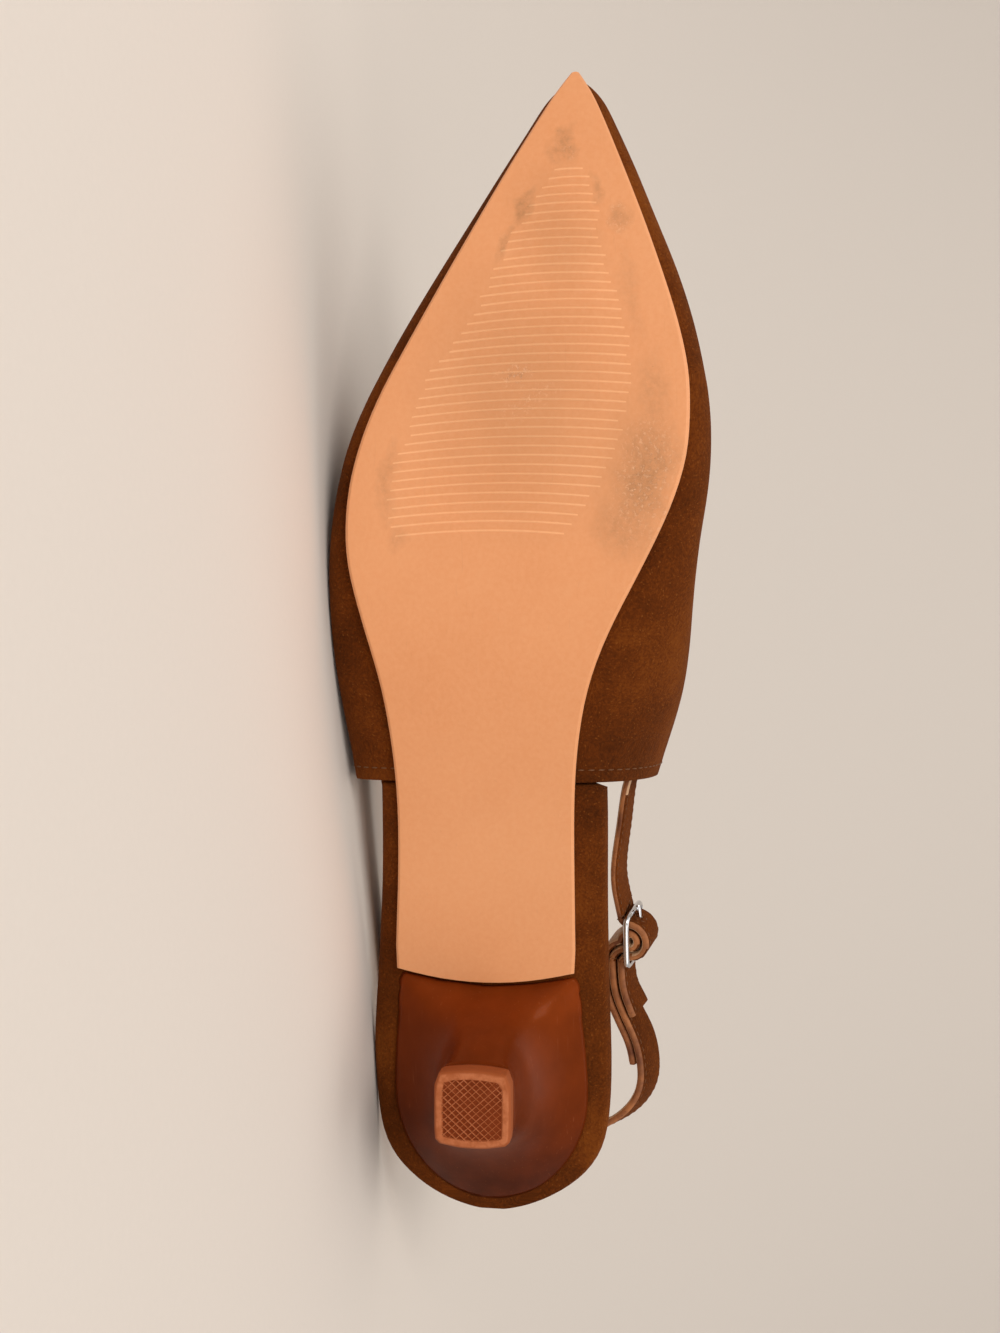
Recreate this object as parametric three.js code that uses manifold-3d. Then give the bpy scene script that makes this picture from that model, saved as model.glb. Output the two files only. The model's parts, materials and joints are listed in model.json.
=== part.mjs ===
// A pointed slingback shoe with a low sculpted heel, lying on its outer side.
// Each piece is shaped in the shoe's own frame: X from the back of the heel to the toe, Y towards
// the inner side of the foot, Z up from the ground that the shoe stands on. Lengths are in mm.
// At the end the whole shoe is laid down on the face of its hull that carries its weight.

import * as THREE from 'three';
import { ConvexHull } from 'three/addons/math/ConvexHull.js';
import { mergeVertices } from 'three/addons/utils/BufferGeometryUtils.js';
import Module from 'manifold-3d';

const wasm = await Module();
wasm.setup();

// Lengths and heights of the last
const shoeLength = 277;
const heelHeight = 35;
const toeSpring = 9;
const instepHeight = 72;

// Widths across the shoe
const soleBallWidth = 76.5;
const upperBallWidth = 90;
const seatWidth = 61.3;

// Thicknesses and clearances
const outsoleThickness = 2;
const upperWall = 2;
const footbedThickness = 4.6;
const pieceGap = 0.3;

// The vamp
const vampLength = 166;
const throatLength = 92;
const lastingMargin = 9;
const marginShare = 0.4;
const featherInset = 1.2;
const rearCornerRadius = 8;
const noseWall = 3;
const noseRounding = 7;
const noseOverhang = 0.5;
const noseHeight = 0.8;
const noseLeast = 0.02;

// The heel and its tip
const heelSeatWidth = 51.4;
const heelBackStep = 3;
const heelTipWidth = 17.8;
const heelTipLength = 17;
const heelTipThickness = 6;
const heelTipPlace = 36.8;
const heelTipOffset = 1;
const heelTipBow = 0.9;
const heelTipBevel = 0.6;
const breastAlong = 0.225;
const breastBow = 3.2;
const breastSwell = 3.6;
const cornerRounding = 0.15;

// The straps
const strapWidth = 10;
const strapThickness = 1.9;
const strapCorner = 0.45;
const strapOverlap = 15;
const doubledGap = 0.35;

// The buckle
const buckleWire = 0.8;
const prongWire = 0.6;
const strapSidePlay = 0.6;
const buckleCornerRadius = 1.8;
const buckleTilt = THREE.MathUtils.degToRad(14);
const buckleSlope = THREE.MathUtils.degToRad(14);

// Weights, in grams for each cubic centimetre
const leatherWeight = 0.9;
const rubberWeight = 1.2;
const plasticWeight = 1.1;
const steelWeight = 7.8;

// Steps along the pieces
const outsoleSteps = 34;
const upperToeSteps = 14;
const upperThroatSteps = 18;
const footbedSteps = 36;
const heelPairs = 11;
const heelLevels = 12;
const slingSteps = 60;
const doubledSteps = 12;
const tailSteps = 6;
const frontSteps = 18;

const rearEdge = shoeLength - vampLength;

// Height of the top of the outsole, as shares of the heel height behind the ball and of the
// toe spring in front of it. Between the two the sole lies flat on the ground.
const heelRise = [
  { along: 0, lift: 1.04 },
  { along: 0.108, lift: 1 },
  { along: 0.217, lift: 0.885 },
  { along: 0.289, lift: 0.72 },
  { along: 0.361, lift: 0.495 },
  { along: 0.433, lift: 0.265 },
  { along: 0.487, lift: 0.125 },
  { along: 0.542, lift: 0.036 },
  { along: 0.585, lift: 0 },
];
const toeRise = [
  { along: 0.76, lift: 0 },
  { along: 0.83, lift: 0.13 },
  { along: 0.885, lift: 0.34 },
  { along: 0.94, lift: 0.62 },
  { along: 1, lift: 1 },
];

// Outline of the outsole: how far its outer and inner edges lie from the axis of the seat, as
// shares of the ball width.
const soleOutline = [
  { along: 0.2, outer: -0.308, inner: 0.288 },
  { along: 0.239, outer: -0.305, inner: 0.289 },
  { along: 0.309, outer: -0.278, inner: 0.293 },
  { along: 0.399, outer: -0.256, inner: 0.305 },
  { along: 0.441, outer: -0.262, inner: 0.322 },
  { along: 0.483, outer: -0.28, inner: 0.354 },
  { along: 0.523, outer: -0.316, inner: 0.409 },
  { along: 0.563, outer: -0.354, inner: 0.484 },
  { along: 0.603, outer: -0.378, inner: 0.559 },
  { along: 0.644, outer: -0.37, inner: 0.622 },
  { along: 0.684, outer: -0.335, inner: 0.655 },
  { along: 0.724, outer: -0.276, inner: 0.658 },
  { along: 0.764, outer: -0.196, inner: 0.637 },
  { along: 0.846, outer: -0.029, inner: 0.548 },
  { along: 0.923, outer: 0.127, inner: 0.447 },
  { along: 0.977, outer: 0.241, inner: 0.37 },
  { along: 0.99, outer: 0.269, inner: 0.348 },
  { along: 1, outer: 0.3, inner: 0.322 },
];

// Sections of the upper: widest outer and inner points as shares of the upper's ball width, their
// height and the height of the ridge above the feather edge as shares of the instep height, and
// the place of the ridge across the shoe as a share of the ball width.
const upperSections = [
  { along: 0.4, outer: -0.351, inner: 0.465, outerBulge: 0.095, innerBulge: 0.385,
    crown: 1, ridge: 0.03, fullness: 2.6 },
  { along: 0.436, outer: -0.358, inner: 0.5, outerBulge: 0.085, innerBulge: 0.365,
    crown: 0.97, ridge: 0.04, fullness: 2.8 },
  { along: 0.482, outer: -0.374, inner: 0.546, outerBulge: 0.07, innerBulge: 0.31,
    crown: 0.92, ridge: 0.07, fullness: 3 },
  { along: 0.525, outer: -0.383, inner: 0.561, outerBulge: 0.062, innerBulge: 0.245,
    crown: 0.865, ridge: 0.1, fullness: 3.2 },
  { along: 0.567, outer: -0.385, inner: 0.571, outerBulge: 0.06, innerBulge: 0.17,
    crown: 0.81, ridge: 0.13, fullness: 3.4 },
  { along: 0.608, outer: -0.38, inner: 0.585, outerBulge: 0.062, innerBulge: 0.135,
    crown: 0.75, ridge: 0.16, fullness: 3.3 },
  { along: 0.649, outer: -0.363, inner: 0.607, outerBulge: 0.068, innerBulge: 0.122,
    crown: 0.69, ridge: 0.185, fullness: 3 },
  { along: 0.69, outer: -0.332, inner: 0.614, outerBulge: 0.078, innerBulge: 0.115,
    crown: 0.625, ridge: 0.205, fullness: 2.7 },
  { along: 0.733, outer: -0.275, inner: 0.604, outerBulge: 0.087, innerBulge: 0.111,
    crown: 0.55, ridge: 0.22, fullness: 2.5 },
  { along: 0.793, outer: -0.174, inner: 0.565, outerBulge: 0.095, innerBulge: 0.107,
    crown: 0.45, ridge: 0.235, fullness: 2.3 },
  { along: 0.835, outer: -0.096, inner: 0.523, outerBulge: 0.1, innerBulge: 0.103,
    crown: 0.385, ridge: 0.245, fullness: 2.3 },
  { along: 0.877, outer: -0.016, inner: 0.472, outerBulge: 0.097, innerBulge: 0.1,
    crown: 0.325, ridge: 0.252, fullness: 2.3 },
  { along: 0.92, outer: 0.064, inner: 0.421, outerBulge: 0.092, innerBulge: 0.092,
    crown: 0.265, ridge: 0.258, fullness: 2.3 },
  { along: 0.96, outer: 0.14, inner: 0.368, outerBulge: 0.08, innerBulge: 0.08,
    crown: 0.205, ridge: 0.262, fullness: 2.3 },
  { along: 1, outer: 0.21, inner: 0.313, outerBulge: 0.065, innerBulge: 0.065,
    crown: 0.145, ridge: 0.265, fullness: 2.3 },
];

// Opening of the throat: how far the topline lies from the ridge towards the widest point, by the
// root of the distance behind the throat's front.
const throatOpening = [
  { reach: 0, open: 0 },
  { reach: 0.233, open: 0.35 },
  { reach: 0.376, open: 0.55 },
  { reach: 0.5, open: 0.69 },
  { reach: 0.643, open: 0.81 },
  { reach: 0.759, open: 0.88 },
  { reach: 0.89, open: 0.94 },
  { reach: 1, open: 0.965 },
];

// Outline of the footbed behind and under the vamp, as shares of the seat width.
const footbedOutline = [
  { along: 0, outer: -0.03, inner: 0.03 },
  { along: 0.0018, outer: -0.091, inner: 0.091 },
  { along: 0.0036, outer: -0.129, inner: 0.129 },
  { along: 0.0072, outer: -0.182, inner: 0.182 },
  { along: 0.0162, outer: -0.272, inner: 0.272 },
  { along: 0.0303, outer: -0.364, inner: 0.364 },
  { along: 0.0433, outer: -0.418, inner: 0.418 },
  { along: 0.0563, outer: -0.455, inner: 0.453 },
  { along: 0.0722, outer: -0.477, inner: 0.475 },
  { along: 0.107, outer: -0.495, inner: 0.493 },
  { along: 0.15, outer: -0.503, inner: 0.497 },
  { along: 0.202, outer: -0.483, inner: 0.491 },
  { along: 0.261, outer: -0.455, inner: 0.49 },
  { along: 0.308, outer: -0.429, inner: 0.492 },
  { along: 0.354, outer: -0.41, inner: 0.499 },
  { along: 0.42, outer: -0.392, inner: 0.508 },
  { along: 1, outer: -1, inner: 1 },
];

// Value of one column of a table at a place between its rows, on a curve that never overshoots.
function column(rows, key, place, value) {
  const last = rows.length - 1;
  if (place <= rows[0][key]) return rows[0][value];
  if (place >= rows[last][key]) return rows[last][value];
  let i = 0;
  while (rows[i + 1][key] < place) i += 1;
  const slope = (k) => (rows[k + 1][value] - rows[k][value]) / (rows[k + 1][key] - rows[k][key]);
  const tangent = (k) => {
    if (k === 0) return slope(0);
    if (k === last) return slope(last - 1);
    const before = slope(k - 1);
    const after = slope(k);
    if (before * after <= 0) return 0;
    const steepest = 3 * Math.min(Math.abs(before), Math.abs(after));
    return Math.sign(before) * Math.min(Math.abs(before + after) / 2, steepest);
  };
  const span = rows[i + 1][key] - rows[i][key];
  const t = (place - rows[i][key]) / span;
  const a = rows[i][value];
  const b = rows[i + 1][value];
  const ta = tangent(i) * span;
  const tb = tangent(i + 1) * span;
  return a + t * ta + t * t * (3 * (b - a) - 2 * ta - tb) + t * t * t * (2 * (a - b) + ta + tb);
}

// Height of the top of the outsole above the ground.
function soleTop(x) {
  const along = x / shoeLength;
  if (along < heelRise[heelRise.length - 1].along) {
    return outsoleThickness + (heelHeight - outsoleThickness) * column(heelRise, 'along', along, 'lift');
  }
  return outsoleThickness + toeSpring * column(toeRise, 'along', along, 'lift');
}

function sideSign(side) {
  return side === 'outer' ? -1 : 1;
}

function soleEdge(x, side) {
  return soleBallWidth * column(soleOutline, 'along', x / shoeLength, side);
}

// Places from start to end, closer together near the end when ease is above one.
function places(start, end, count, ease) {
  return Array.from({ length: count + 1 }, (_, i) => start + (end - start) * (1 - (1 - i / count) ** ease));
}

// A closed solid from rings of points: each ring joins the next, and both ends are closed.
class Solid {
  constructor() {
    this.points = [];
    this.faces = [];
  }

  add(point) {
    this.points.push(point);
    return this.points.length - 1;
  }

  ring(points) {
    return points.map((point) => this.add(point));
  }

  quad(a, b, c, d) {
    this.faces.push([a, b, c], [a, c, d]);
  }

  join(before, after) {
    for (let i = 0; i < before.length; i += 1) {
      const next = (i + 1) % before.length;
      this.quad(before[i], after[i], after[next], before[next]);
    }
  }

  // Closes a ring whose points pair up across the shoe, so that the lid is ruled from side to side.
  pairedLid(ring, flipped) {
    const n = ring.length;
    for (let i = 0; i < n / 2 - 1; i += 1) {
      const corners = [ring[i], ring[i + 1], ring[n - 2 - i], ring[n - 1 - i]];
      if (flipped) corners.reverse();
      this.quad(...corners);
    }
  }

  geometry() {
    const geometry = new THREE.BufferGeometry();
    geometry.setAttribute('position', new THREE.Float32BufferAttribute(this.points.flat(), 3));
    geometry.setIndex(this.faces.flat());
    if (signedVolume(this.points, this.faces) < 0) {
      geometry.setIndex(this.faces.map((f) => [f[0], f[2], f[1]]).flat());
    }
    geometry.computeVertexNormals();
    return geometry;
  }
}

function signedVolume(points, faces) {
  let sum = 0;
  for (const [a, b, c] of faces) {
    const [p, q, r] = [points[a], points[b], points[c]];
    sum += p[0] * (q[1] * r[2] - q[2] * r[1]) - p[1] * (q[0] * r[2] - q[2] * r[0])
      + p[2] * (q[0] * r[1] - q[1] * r[0]);
  }
  return sum / 6;
}

// The outsole: a thin sheet under the forefoot and waist, ending in a curve at the heel breast.
const soleEdgeBevel = 0.5;
const soleColumns = 6;
const breastFade = 8;

function outsoleGeometry() {
  const solid = new Solid();
  const breast = breastAlong * shoeLength;
  const rows = places(shoeLength, breast, outsoleSteps, 0.8);
  const rings = rows.map((row) => {
    const share = (shoeLength - row) / (shoeLength - breast);
    const ring = (inset, thickness) => Array.from({ length: soleColumns + 1 }, (_, i) => {
      const across = i / soleColumns;
      const side = 2 * across - 1;
      const x = row + breastBow * (side * side - 1) * share ** breastFade;
      const outer = soleEdge(x, 'outer') + inset;
      const inner = soleEdge(x, 'inner') - inset;
      return [x, outer + (inner - outer) * across, soleTop(x) - thickness];
    });
    const bottom = ring(soleEdgeBevel, outsoleThickness);
    const top = ring(0, 0).reverse();
    const edge = (from, lift) => [from[0], from[1], from[2] + lift];
    const innerEdge = edge(ring(0, outsoleThickness)[soleColumns], soleEdgeBevel);
    const outerEdge = edge(ring(0, outsoleThickness)[0], soleEdgeBevel);
    return solid.ring([...bottom, innerEdge, ...top, outerEdge]);
  });
  rings.slice(1).forEach((ring, i) => solid.join(rings[i], ring));
  fanLid(solid, rings[0], false);
  fanLid(solid, rings[rings.length - 1], true);
  return solid.geometry();
}

// Closes a ring with triangles that meet at its middle.
function fanLid(solid, ring, flipped) {
  const middle = [0, 1, 2].map((k) => ring.reduce((sum, i) => sum + solid.points[i][k], 0) / ring.length);
  const centre = solid.add(middle);
  ring.forEach((from, i) => {
    const to = ring[(i + 1) % ring.length];
    solid.faces.push(flipped ? [centre, to, from] : [centre, from, to]);
  });
}

// One half section of the upper, from the end of its lasted margin round the side to the ridge.
const marginSteps = 2;
const sideSteps = 5;
const crownSteps = 7;
const crownFullness = 2.3;

function upperRow(x, side) {
  const along = x / shoeLength;
  const at = (value) => column(upperSections, 'along', along, value);
  return {
    base: soleTop(x) + pieceGap,
    outer: upperBallWidth * at('outer'),
    inner: upperBallWidth * at('inner'),
    bulge: instepHeight * at(`${side}Bulge`),
    shoulder: instepHeight * at('innerBulge'),
    crown: instepHeight * at('crown'),
    ridge: upperBallWidth * at('ridge'),
    fullness: side === 'outer' ? at('fullness') : crownFullness,
  };
}

// How far the crown runs up before the topline cuts it, as an angle.
function toplineAngle(x, row) {
  const throat = rearEdge + throatLength;
  if (x >= throat) return Math.PI / 2;
  const rear = rearEdge;
  const open = column(throatOpening, 'reach', Math.sqrt((throat - x) / throatLength), 'open');
  const fall = (1 - open ** crownFullness) ** (1 / crownFullness);
  const height = row.shoulder - row.bulge + (row.crown - row.shoulder) * fall;
  const fromRear = Math.min(x - rear, rearCornerRadius);
  const drop = rearCornerRadius - Math.sqrt(rearCornerRadius ** 2 - (rearCornerRadius - fromRear) ** 2);
  const share = (height - drop) / (row.crown - row.bulge);
  return Math.asin(share ** (row.fullness / 2));
}

function featherHalf(x, side) {
  return sideSign(side) * soleEdge(x, side) - featherInset;
}

// Width of the lasted margin, which narrows towards the toe so that a slit stays between its sides.
function marginWidth(x) {
  return Math.min(lastingMargin, marginShare * (featherHalf(x, 'inner') + featherHalf(x, 'outer')));
}

function halfSection(x, side, inset) {
  const row = upperRow(x, side);
  const sign = sideSign(side);
  const featherEdge = featherHalf(x, side);
  const margin = marginWidth(x);
  const widest = sign * row[side] - inset;
  const ridge = sign * row.ridge;
  const points = [];
  for (let i = 0; i < marginSteps; i += 1) {
    points.push([x, sign * (featherEdge - margin * (1 - i / marginSteps)), row.base + inset]);
  }
  for (let i = 0; i < sideSteps; i += 1) {
    const turn = (Math.PI / 2) * (i / sideSteps);
    const out = featherEdge + (widest - featherEdge) * Math.sin(turn);
    points.push([x, sign * out, row.base + row.bulge - (row.bulge - inset) * Math.cos(turn)]);
  }
  const top = toplineAngle(x, row);
  for (let i = 0; i <= crownSteps; i += 1) {
    const turn = top * (i / crownSteps);
    const out = ridge + (widest - ridge) * Math.max(Math.cos(turn), 0) ** (2 / row.fullness);
    const up = (row.crown - inset - row.bulge) * Math.sin(turn) ** (2 / row.fullness);
    points.push([x, sign * out, row.base + row.bulge + up]);
  }
  return points;
}

// The nose: the last sections shrink towards their middle, as on a rounded point.
function noseScaled(points, x, tip) {
  const reach = Math.max(0, x - (tip - noseRounding)) / noseRounding;
  const scale = Math.sqrt(Math.max(1 - reach * reach, noseLeast));
  const row = upperRow(x, 'inner');
  const middle = (soleEdge(x, 'outer') + soleEdge(x, 'inner')) / 2;
  const height = row.base + noseHeight * row.bulge;
  return points.map(([px, py, pz]) => [px, middle + (py - middle) * scale, height + (pz - height) * scale]);
}

function upperShellRows(inset) {
  const rear = rearEdge;
  const throat = rear + throatLength;
  const tip = shoeLength + noseOverhang - (inset > 0 ? noseWall : 0);
  const toeRows = places(throat, tip, upperToeSteps, 1.6).reverse();
  const cornerSteps = 4;
  const count = upperThroatSteps - cornerSteps;
  const reachRows = Array.from({ length: count }, (_, i) => {
    const share = (i + 1) / count;
    return throat - (throatLength - rearCornerRadius) * share * share;
  });
  const cornerRows = Array.from({ length: cornerSteps }, (_, i) => {
    const turn = (Math.PI / 2) * ((i + 1) / cornerSteps);
    return rear + rearCornerRadius * (1 - Math.sin(turn));
  });
  const rows = [...toeRows, ...reachRows, ...cornerRows];
  return rows.map((x) => ({
    outer: noseScaled(halfSection(x, 'outer', inset), x, tip),
    inner: noseScaled(halfSection(x, 'inner', inset), x, tip),
    joined: x >= throat,
  }));
}

// The upper: outer and inner skins joined along the margin, the topline and the rear edges.
function upperGeometry() {
  const solid = new Solid();
  const skins = [0, upperWall].map((inset) => upperShellRows(inset).map((row) => {
    const outer = solid.ring(row.outer);
    const inner = solid.ring(row.inner);
    if (row.joined) inner[inner.length - 1] = outer[outer.length - 1];
    return { outer, inner, joined: row.joined };
  }));
  const strip = (a, b, c, d, flipped) => (flipped ? solid.quad(d, c, b, a) : solid.quad(a, b, c, d));
  const count = skins[0].length;
  const columns = skins[0][0].outer.length;
  for (const side of ['outer', 'inner']) {
    const turned = side === 'inner';
    for (let i = 0; i + 1 < count; i += 1) {
      for (let j = 0; j + 1 < columns; j += 1) {
        const [outside, inside] = skins.map((skin) => [skin[i][side], skin[i + 1][side]]);
        strip(outside[0][j], outside[1][j], outside[1][j + 1], outside[0][j + 1], turned);
        strip(inside[0][j], inside[1][j], inside[1][j + 1], inside[0][j + 1], !turned);
      }
      const [outside, inside] = skins.map((skin) => [skin[i], skin[i + 1]]);
      strip(outside[0][side][0], inside[0][side][0], inside[1][side][0], outside[1][side][0], turned);
      if (!outside[1].joined) {
        const end = columns - 1;
        const [far, near] = [outside, inside].map((skin) => skin.map((row) => row[side][end]));
        strip(far[0], far[1], near[1], near[0], turned);
      }
    }
    const [outside, inside] = skins.map((skin) => skin[count - 1][side]);
    for (let j = 0; j + 1 < columns; j += 1) {
      strip(outside[j], inside[j], inside[j + 1], outside[j + 1], turned);
    }
  }
  const nose = (row) => [...row.outer, ...row.inner.slice(0, -1).reverse()];
  fanLid(solid, nose(skins[0][0]), false);
  fanLid(solid, nose(skins[1][0]), true);
  const slit = skins.map((skin) => [skin[0].outer[0], skin[0].inner[0]]);
  strip(slit[0][0], slit[0][1], slit[1][1], slit[1][0], false);
  return solid.geometry();
}

// The footbed: a board with its cover, flat below between the turned-in margins of the upper.
const footbedReach = 0.93;
const fillerSlope = 0.4;
const fillerGap = 1;
const footbedBackEnd = 0.3;
const footbedEdgeRound = 1.2;

// Half width that is free inside the upper at a height above the top of the outsole.
function innerWall(x, side, height) {
  const sign = sideSign(side);
  const wall = halfSection(x, side, upperWall).slice(marginSteps);
  const level = soleTop(x) + height - pieceGap;
  const above = wall.findIndex((point) => point[2] >= level);
  if (above <= 0) return sign * wall[0][1] - pieceGap;
  const [low, high] = [wall[above - 1], wall[above]];
  const share = (level - low[2]) / (high[2] - low[2]);
  return sign * (low[1] + (high[1] - low[1]) * share) - pieceGap;
}

function footbedRing(x) {
  const inVamp = x > rearEdge - 2 * pieceGap;
  const step = inVamp ? upperWall + pieceGap : 0;
  const base = soleTop(x) + pieceGap;
  const half = (side) => {
    const sign = sideSign(side);
    const free = sign * seatWidth * column(footbedOutline, 'along', x / shoeLength, side);
    const fits = (height) => (inVamp ? Math.min(free, innerWall(x, side, pieceGap + height)) : free);
    const low = fits(step) - (inVamp ? 0 : footbedEdgeRound);
    const slit = featherHalf(x, side) - marginWidth(x) - fillerGap;
    const filler = Math.min(slit, low - 2 * fillerSlope);
    const middle = (footbedThickness + step) / 2;
    const shoulder = footbedThickness - footbedEdgeRound / 2;
    return [
      [x, sign * filler, base],
      [x, sign * (filler + fillerSlope), base + step],
      [x, sign * low, base + step],
      [x, sign * fits(middle), base + middle],
      [x, sign * fits(shoulder), base + shoulder],
      [x, sign * (fits(shoulder) - footbedEdgeRound), base + footbedThickness],
    ];
  };
  return [...half('outer').reverse(), ...half('inner')];
}

function footbedGeometry() {
  const solid = new Solid();
  const rear = rearEdge;
  const toeEnd = footbedReach * shoeLength;
  const back = places(rear - 3 * pieceGap, footbedBackEnd, Math.round(footbedSteps / 2), 2.2);
  const front = places(toeEnd, rear - pieceGap, Math.round(footbedSteps / 2), 1);
  const rings = [...front, ...back].map((x) => solid.ring(footbedRing(x)));
  rings.slice(1).forEach((ring, i) => solid.join(rings[i], ring));
  solid.pairedLid(rings[0], false);
  solid.pairedLid(rings[rings.length - 1], true);
  return solid.geometry();
}

// Each section's back, front and width, from those of the tip at 0 to those of the seat at 1.
const heelSections = [
  { level: 0, back: 0, front: 0, width: 0 },
  { level: 0.2, back: 0.04, front: 0.03, width: 0.03 },
  { level: 0.45, back: 0.18, front: 0.13, width: 0.14 },
  { level: 0.7, back: 0.45, front: 0.36, width: 0.38 },
  { level: 0.88, back: 0.76, front: 0.68, width: 0.72 },
  { level: 0.96, back: 0.93, front: 0.9, width: 0.92 },
  { level: 1, back: 1, front: 1, width: 1 },
];

// Half width along the seat from its round back to its front corners, as a share.
const seatShape = [
  { run: 0, half: 0.1 },
  { run: 0.02, half: 0.3 },
  { run: 0.07, half: 0.52 },
  { run: 0.16, half: 0.74 },
  { run: 0.3, half: 0.92 },
  { run: 0.48, half: 1 },
  { run: 0.75, half: 0.97 },
  { run: 1, half: 0.91 },
];

// The same for the nearly square tip.
const tipShape = [
  { run: 0, half: 0.3 },
  { run: 0.05, half: 0.86 },
  { run: 0.14, half: 0.98 },
  { run: 0.5, half: 1 },
  { run: 0.88, half: 0.99 },
  { run: 1, half: 0.88 },
];

// Half of the front edge, from the corner to the middle: bowed out at the tip, hollow at the seat.
// Between the two its corners are rounded and its middle swells.
const breastShape = [
  { tipHalf: 0.8, tipReach: 0.25, seatHalf: 0.9, seatReach: 0.5 },
  { tipHalf: 0.62, tipReach: 0.5, seatHalf: 0.86, seatReach: 1 },
  { tipHalf: 0.34, tipReach: 0.85, seatHalf: 0.5, seatReach: 0.4 },
  { tipHalf: 0, tipReach: 1, seatHalf: 0, seatReach: 0 },
];

function heelRing(level) {
  const at = (value) => column(heelSections, 'level', level, value);
  const seatFront = breastAlong * shoeLength - breastBow - 3 * pieceGap;
  const back = mix(heelTipPlace - heelTipLength / 2, heelBackStep, at('back'));
  const front = mix(heelTipPlace + heelTipLength / 2, seatFront, at('front'));
  const half = mix(heelTipWidth, heelSeatWidth, at('width')) / 2;
  const middle = mix(heelTipOffset, 0, at('width'));
  const height = (x) => mix(heelTipThickness + pieceGap, soleTop(x), level);
  const softness = Math.sin(Math.PI * level);
  const narrowed = (run) => 1 - cornerRounding * softness * run ** 3;
  const place = (x, y) => [x, middle + y, height(x)];
  const side = (sign) => Array.from({ length: heelPairs }, (_, i) => {
    const run = 1 - Math.cos((Math.PI / 2) * (i / (heelPairs - 1)));
    const shapes = [tipShape, seatShape].map((shape) => column(shape, 'run', run, 'half'));
    const share = mix(...shapes, at('width'));
    return place(back + (front - back) * run, sign * half * share * narrowed(run));
  });
  const halfBreast = (sign) => breastShape.map((row) => place(
    front + mix(heelTipBow * row.tipReach, breastBow * row.seatReach, at('front'))
      + breastSwell * softness * (1 - row.tipHalf ** 2),
    sign * half * mix(row.tipHalf, row.seatHalf, at('width')) * narrowed(1),
  ));
  const breast = [...halfBreast(-1), ...halfBreast(1).reverse().slice(1)];
  return { outer: side(-1), breast, inner: side(1) };
}

function mix(a, b, share) {
  return a + (b - a) * share;
}

function heelGeometry() {
  const solid = new Solid();
  const rings = Array.from({ length: heelLevels + 1 }, (_, i) => {
    const { outer, breast, inner } = heelRing(i / heelLevels);
    return solid.ring([...outer, ...breast, ...inner.reverse()]);
  });
  rings.slice(1).forEach((ring, i) => solid.join(rings[i], ring));
  fanLid(solid, rings[0], false);
  seatLid(solid, rings[heelLevels]);
  return solid.geometry();
}

// The seat of the heel, ruled from side to side up to the hollow of the breast, with a horn on
// each side of that hollow.
function seatLid(solid, ring) {
  const n = ring.length;
  const across = (i) => [ring[i], ring[n - 1 - i]];
  for (let i = 0; i + 2 < heelPairs; i += 1) {
    const [a, d] = across(i);
    const [b, c] = across(i + 1);
    solid.quad(d, c, b, a);
  }
  const last = heelPairs - 1;
  const [a, d] = across(last - 1);
  const [b, c] = across(last);
  const [b1, b2, b3, middle, c3, c2, c1] = ring.slice(heelPairs, heelPairs + 7);
  solid.faces.push([middle, b, a], [middle, a, d], [middle, d, c]);
  solid.faces.push([b3, b, middle], [b3, b1, b], [b3, b2, b1]);
  solid.faces.push([c3, middle, c], [c3, c, c1], [c3, c1, c2]);
}

// The heel tip: a flat rubber plate with the outline of the heel's lower end.
function heelTipGeometry() {
  const solid = new Solid();
  const { outer, breast, inner } = heelRing(0);
  const outline = [...outer, ...breast, ...inner.reverse()];
  const ring = (height, inset) => solid.ring(outline.map(([x, y]) => [
    heelTipPlace + (x - heelTipPlace) * (1 - (2 * inset) / heelTipLength),
    heelTipOffset + (y - heelTipOffset) * (1 - (2 * inset) / heelTipWidth),
    height,
  ]));
  const rings = [ring(0, heelTipBevel), ring(heelTipBevel, 0), ring(heelTipThickness, 0)];
  solid.join(rings[0], rings[1]);
  solid.join(rings[1], rings[2]);
  fanLid(solid, rings[0], false);
  fanLid(solid, rings[2], true);
  return solid.geometry();
}

// Place of the buckle's middle, as shares of the rear length, the seat width and the heel height
const buckleAlong = 0.624;
const buckleAcrossShare = 0.579;
const buckleUp = 1.346;

// The buckle's own frame: rearwards along the strap, outwards from the shoe, and across the strap.
const buckleCentre = new THREE.Vector3(
  buckleAlong * rearEdge,
  buckleAcrossShare * seatWidth,
  buckleUp * heelHeight,
);
const buckleRearwards = new THREE.Vector3(-Math.cos(buckleSlope), 0, Math.sin(buckleSlope));
const buckleAcross = new THREE.Vector3(Math.sin(buckleSlope), 0, Math.cos(buckleSlope))
  .applyAxisAngle(buckleRearwards, buckleTilt);
const buckleOutwards = new THREE.Vector3().crossVectors(buckleRearwards, buckleAcross);

function onBuckle(rearwards, outwards, across = 0) {
  return buckleCentre.clone()
    .addScaledVector(buckleRearwards, rearwards)
    .addScaledVector(buckleOutwards, outwards)
    .addScaledVector(buckleAcross, across);
}

// Radii of the wraps round a wire: the strap next to it, and a second strap over the first.
const firstWrap = buckleWire + 1.3 * pieceGap + strapThickness / 2;
const secondWrap = firstWrap + 1.7 * pieceGap + strapThickness;
const buckleReach = firstWrap + secondWrap;
const buckleHalfWidth = strapWidth / 2 + strapSidePlay + buckleWire;

// An arc in the buckle's plane, in degrees from rearwards towards outwards.
function buckleArc(centre, radius, from, to, steps) {
  return Array.from({ length: steps + 1 }, (_, i) => {
    const turn = THREE.MathUtils.degToRad(mix(from, to, i / steps));
    return onBuckle(centre + radius * Math.cos(turn), radius * Math.sin(turn));
  });
}

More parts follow.
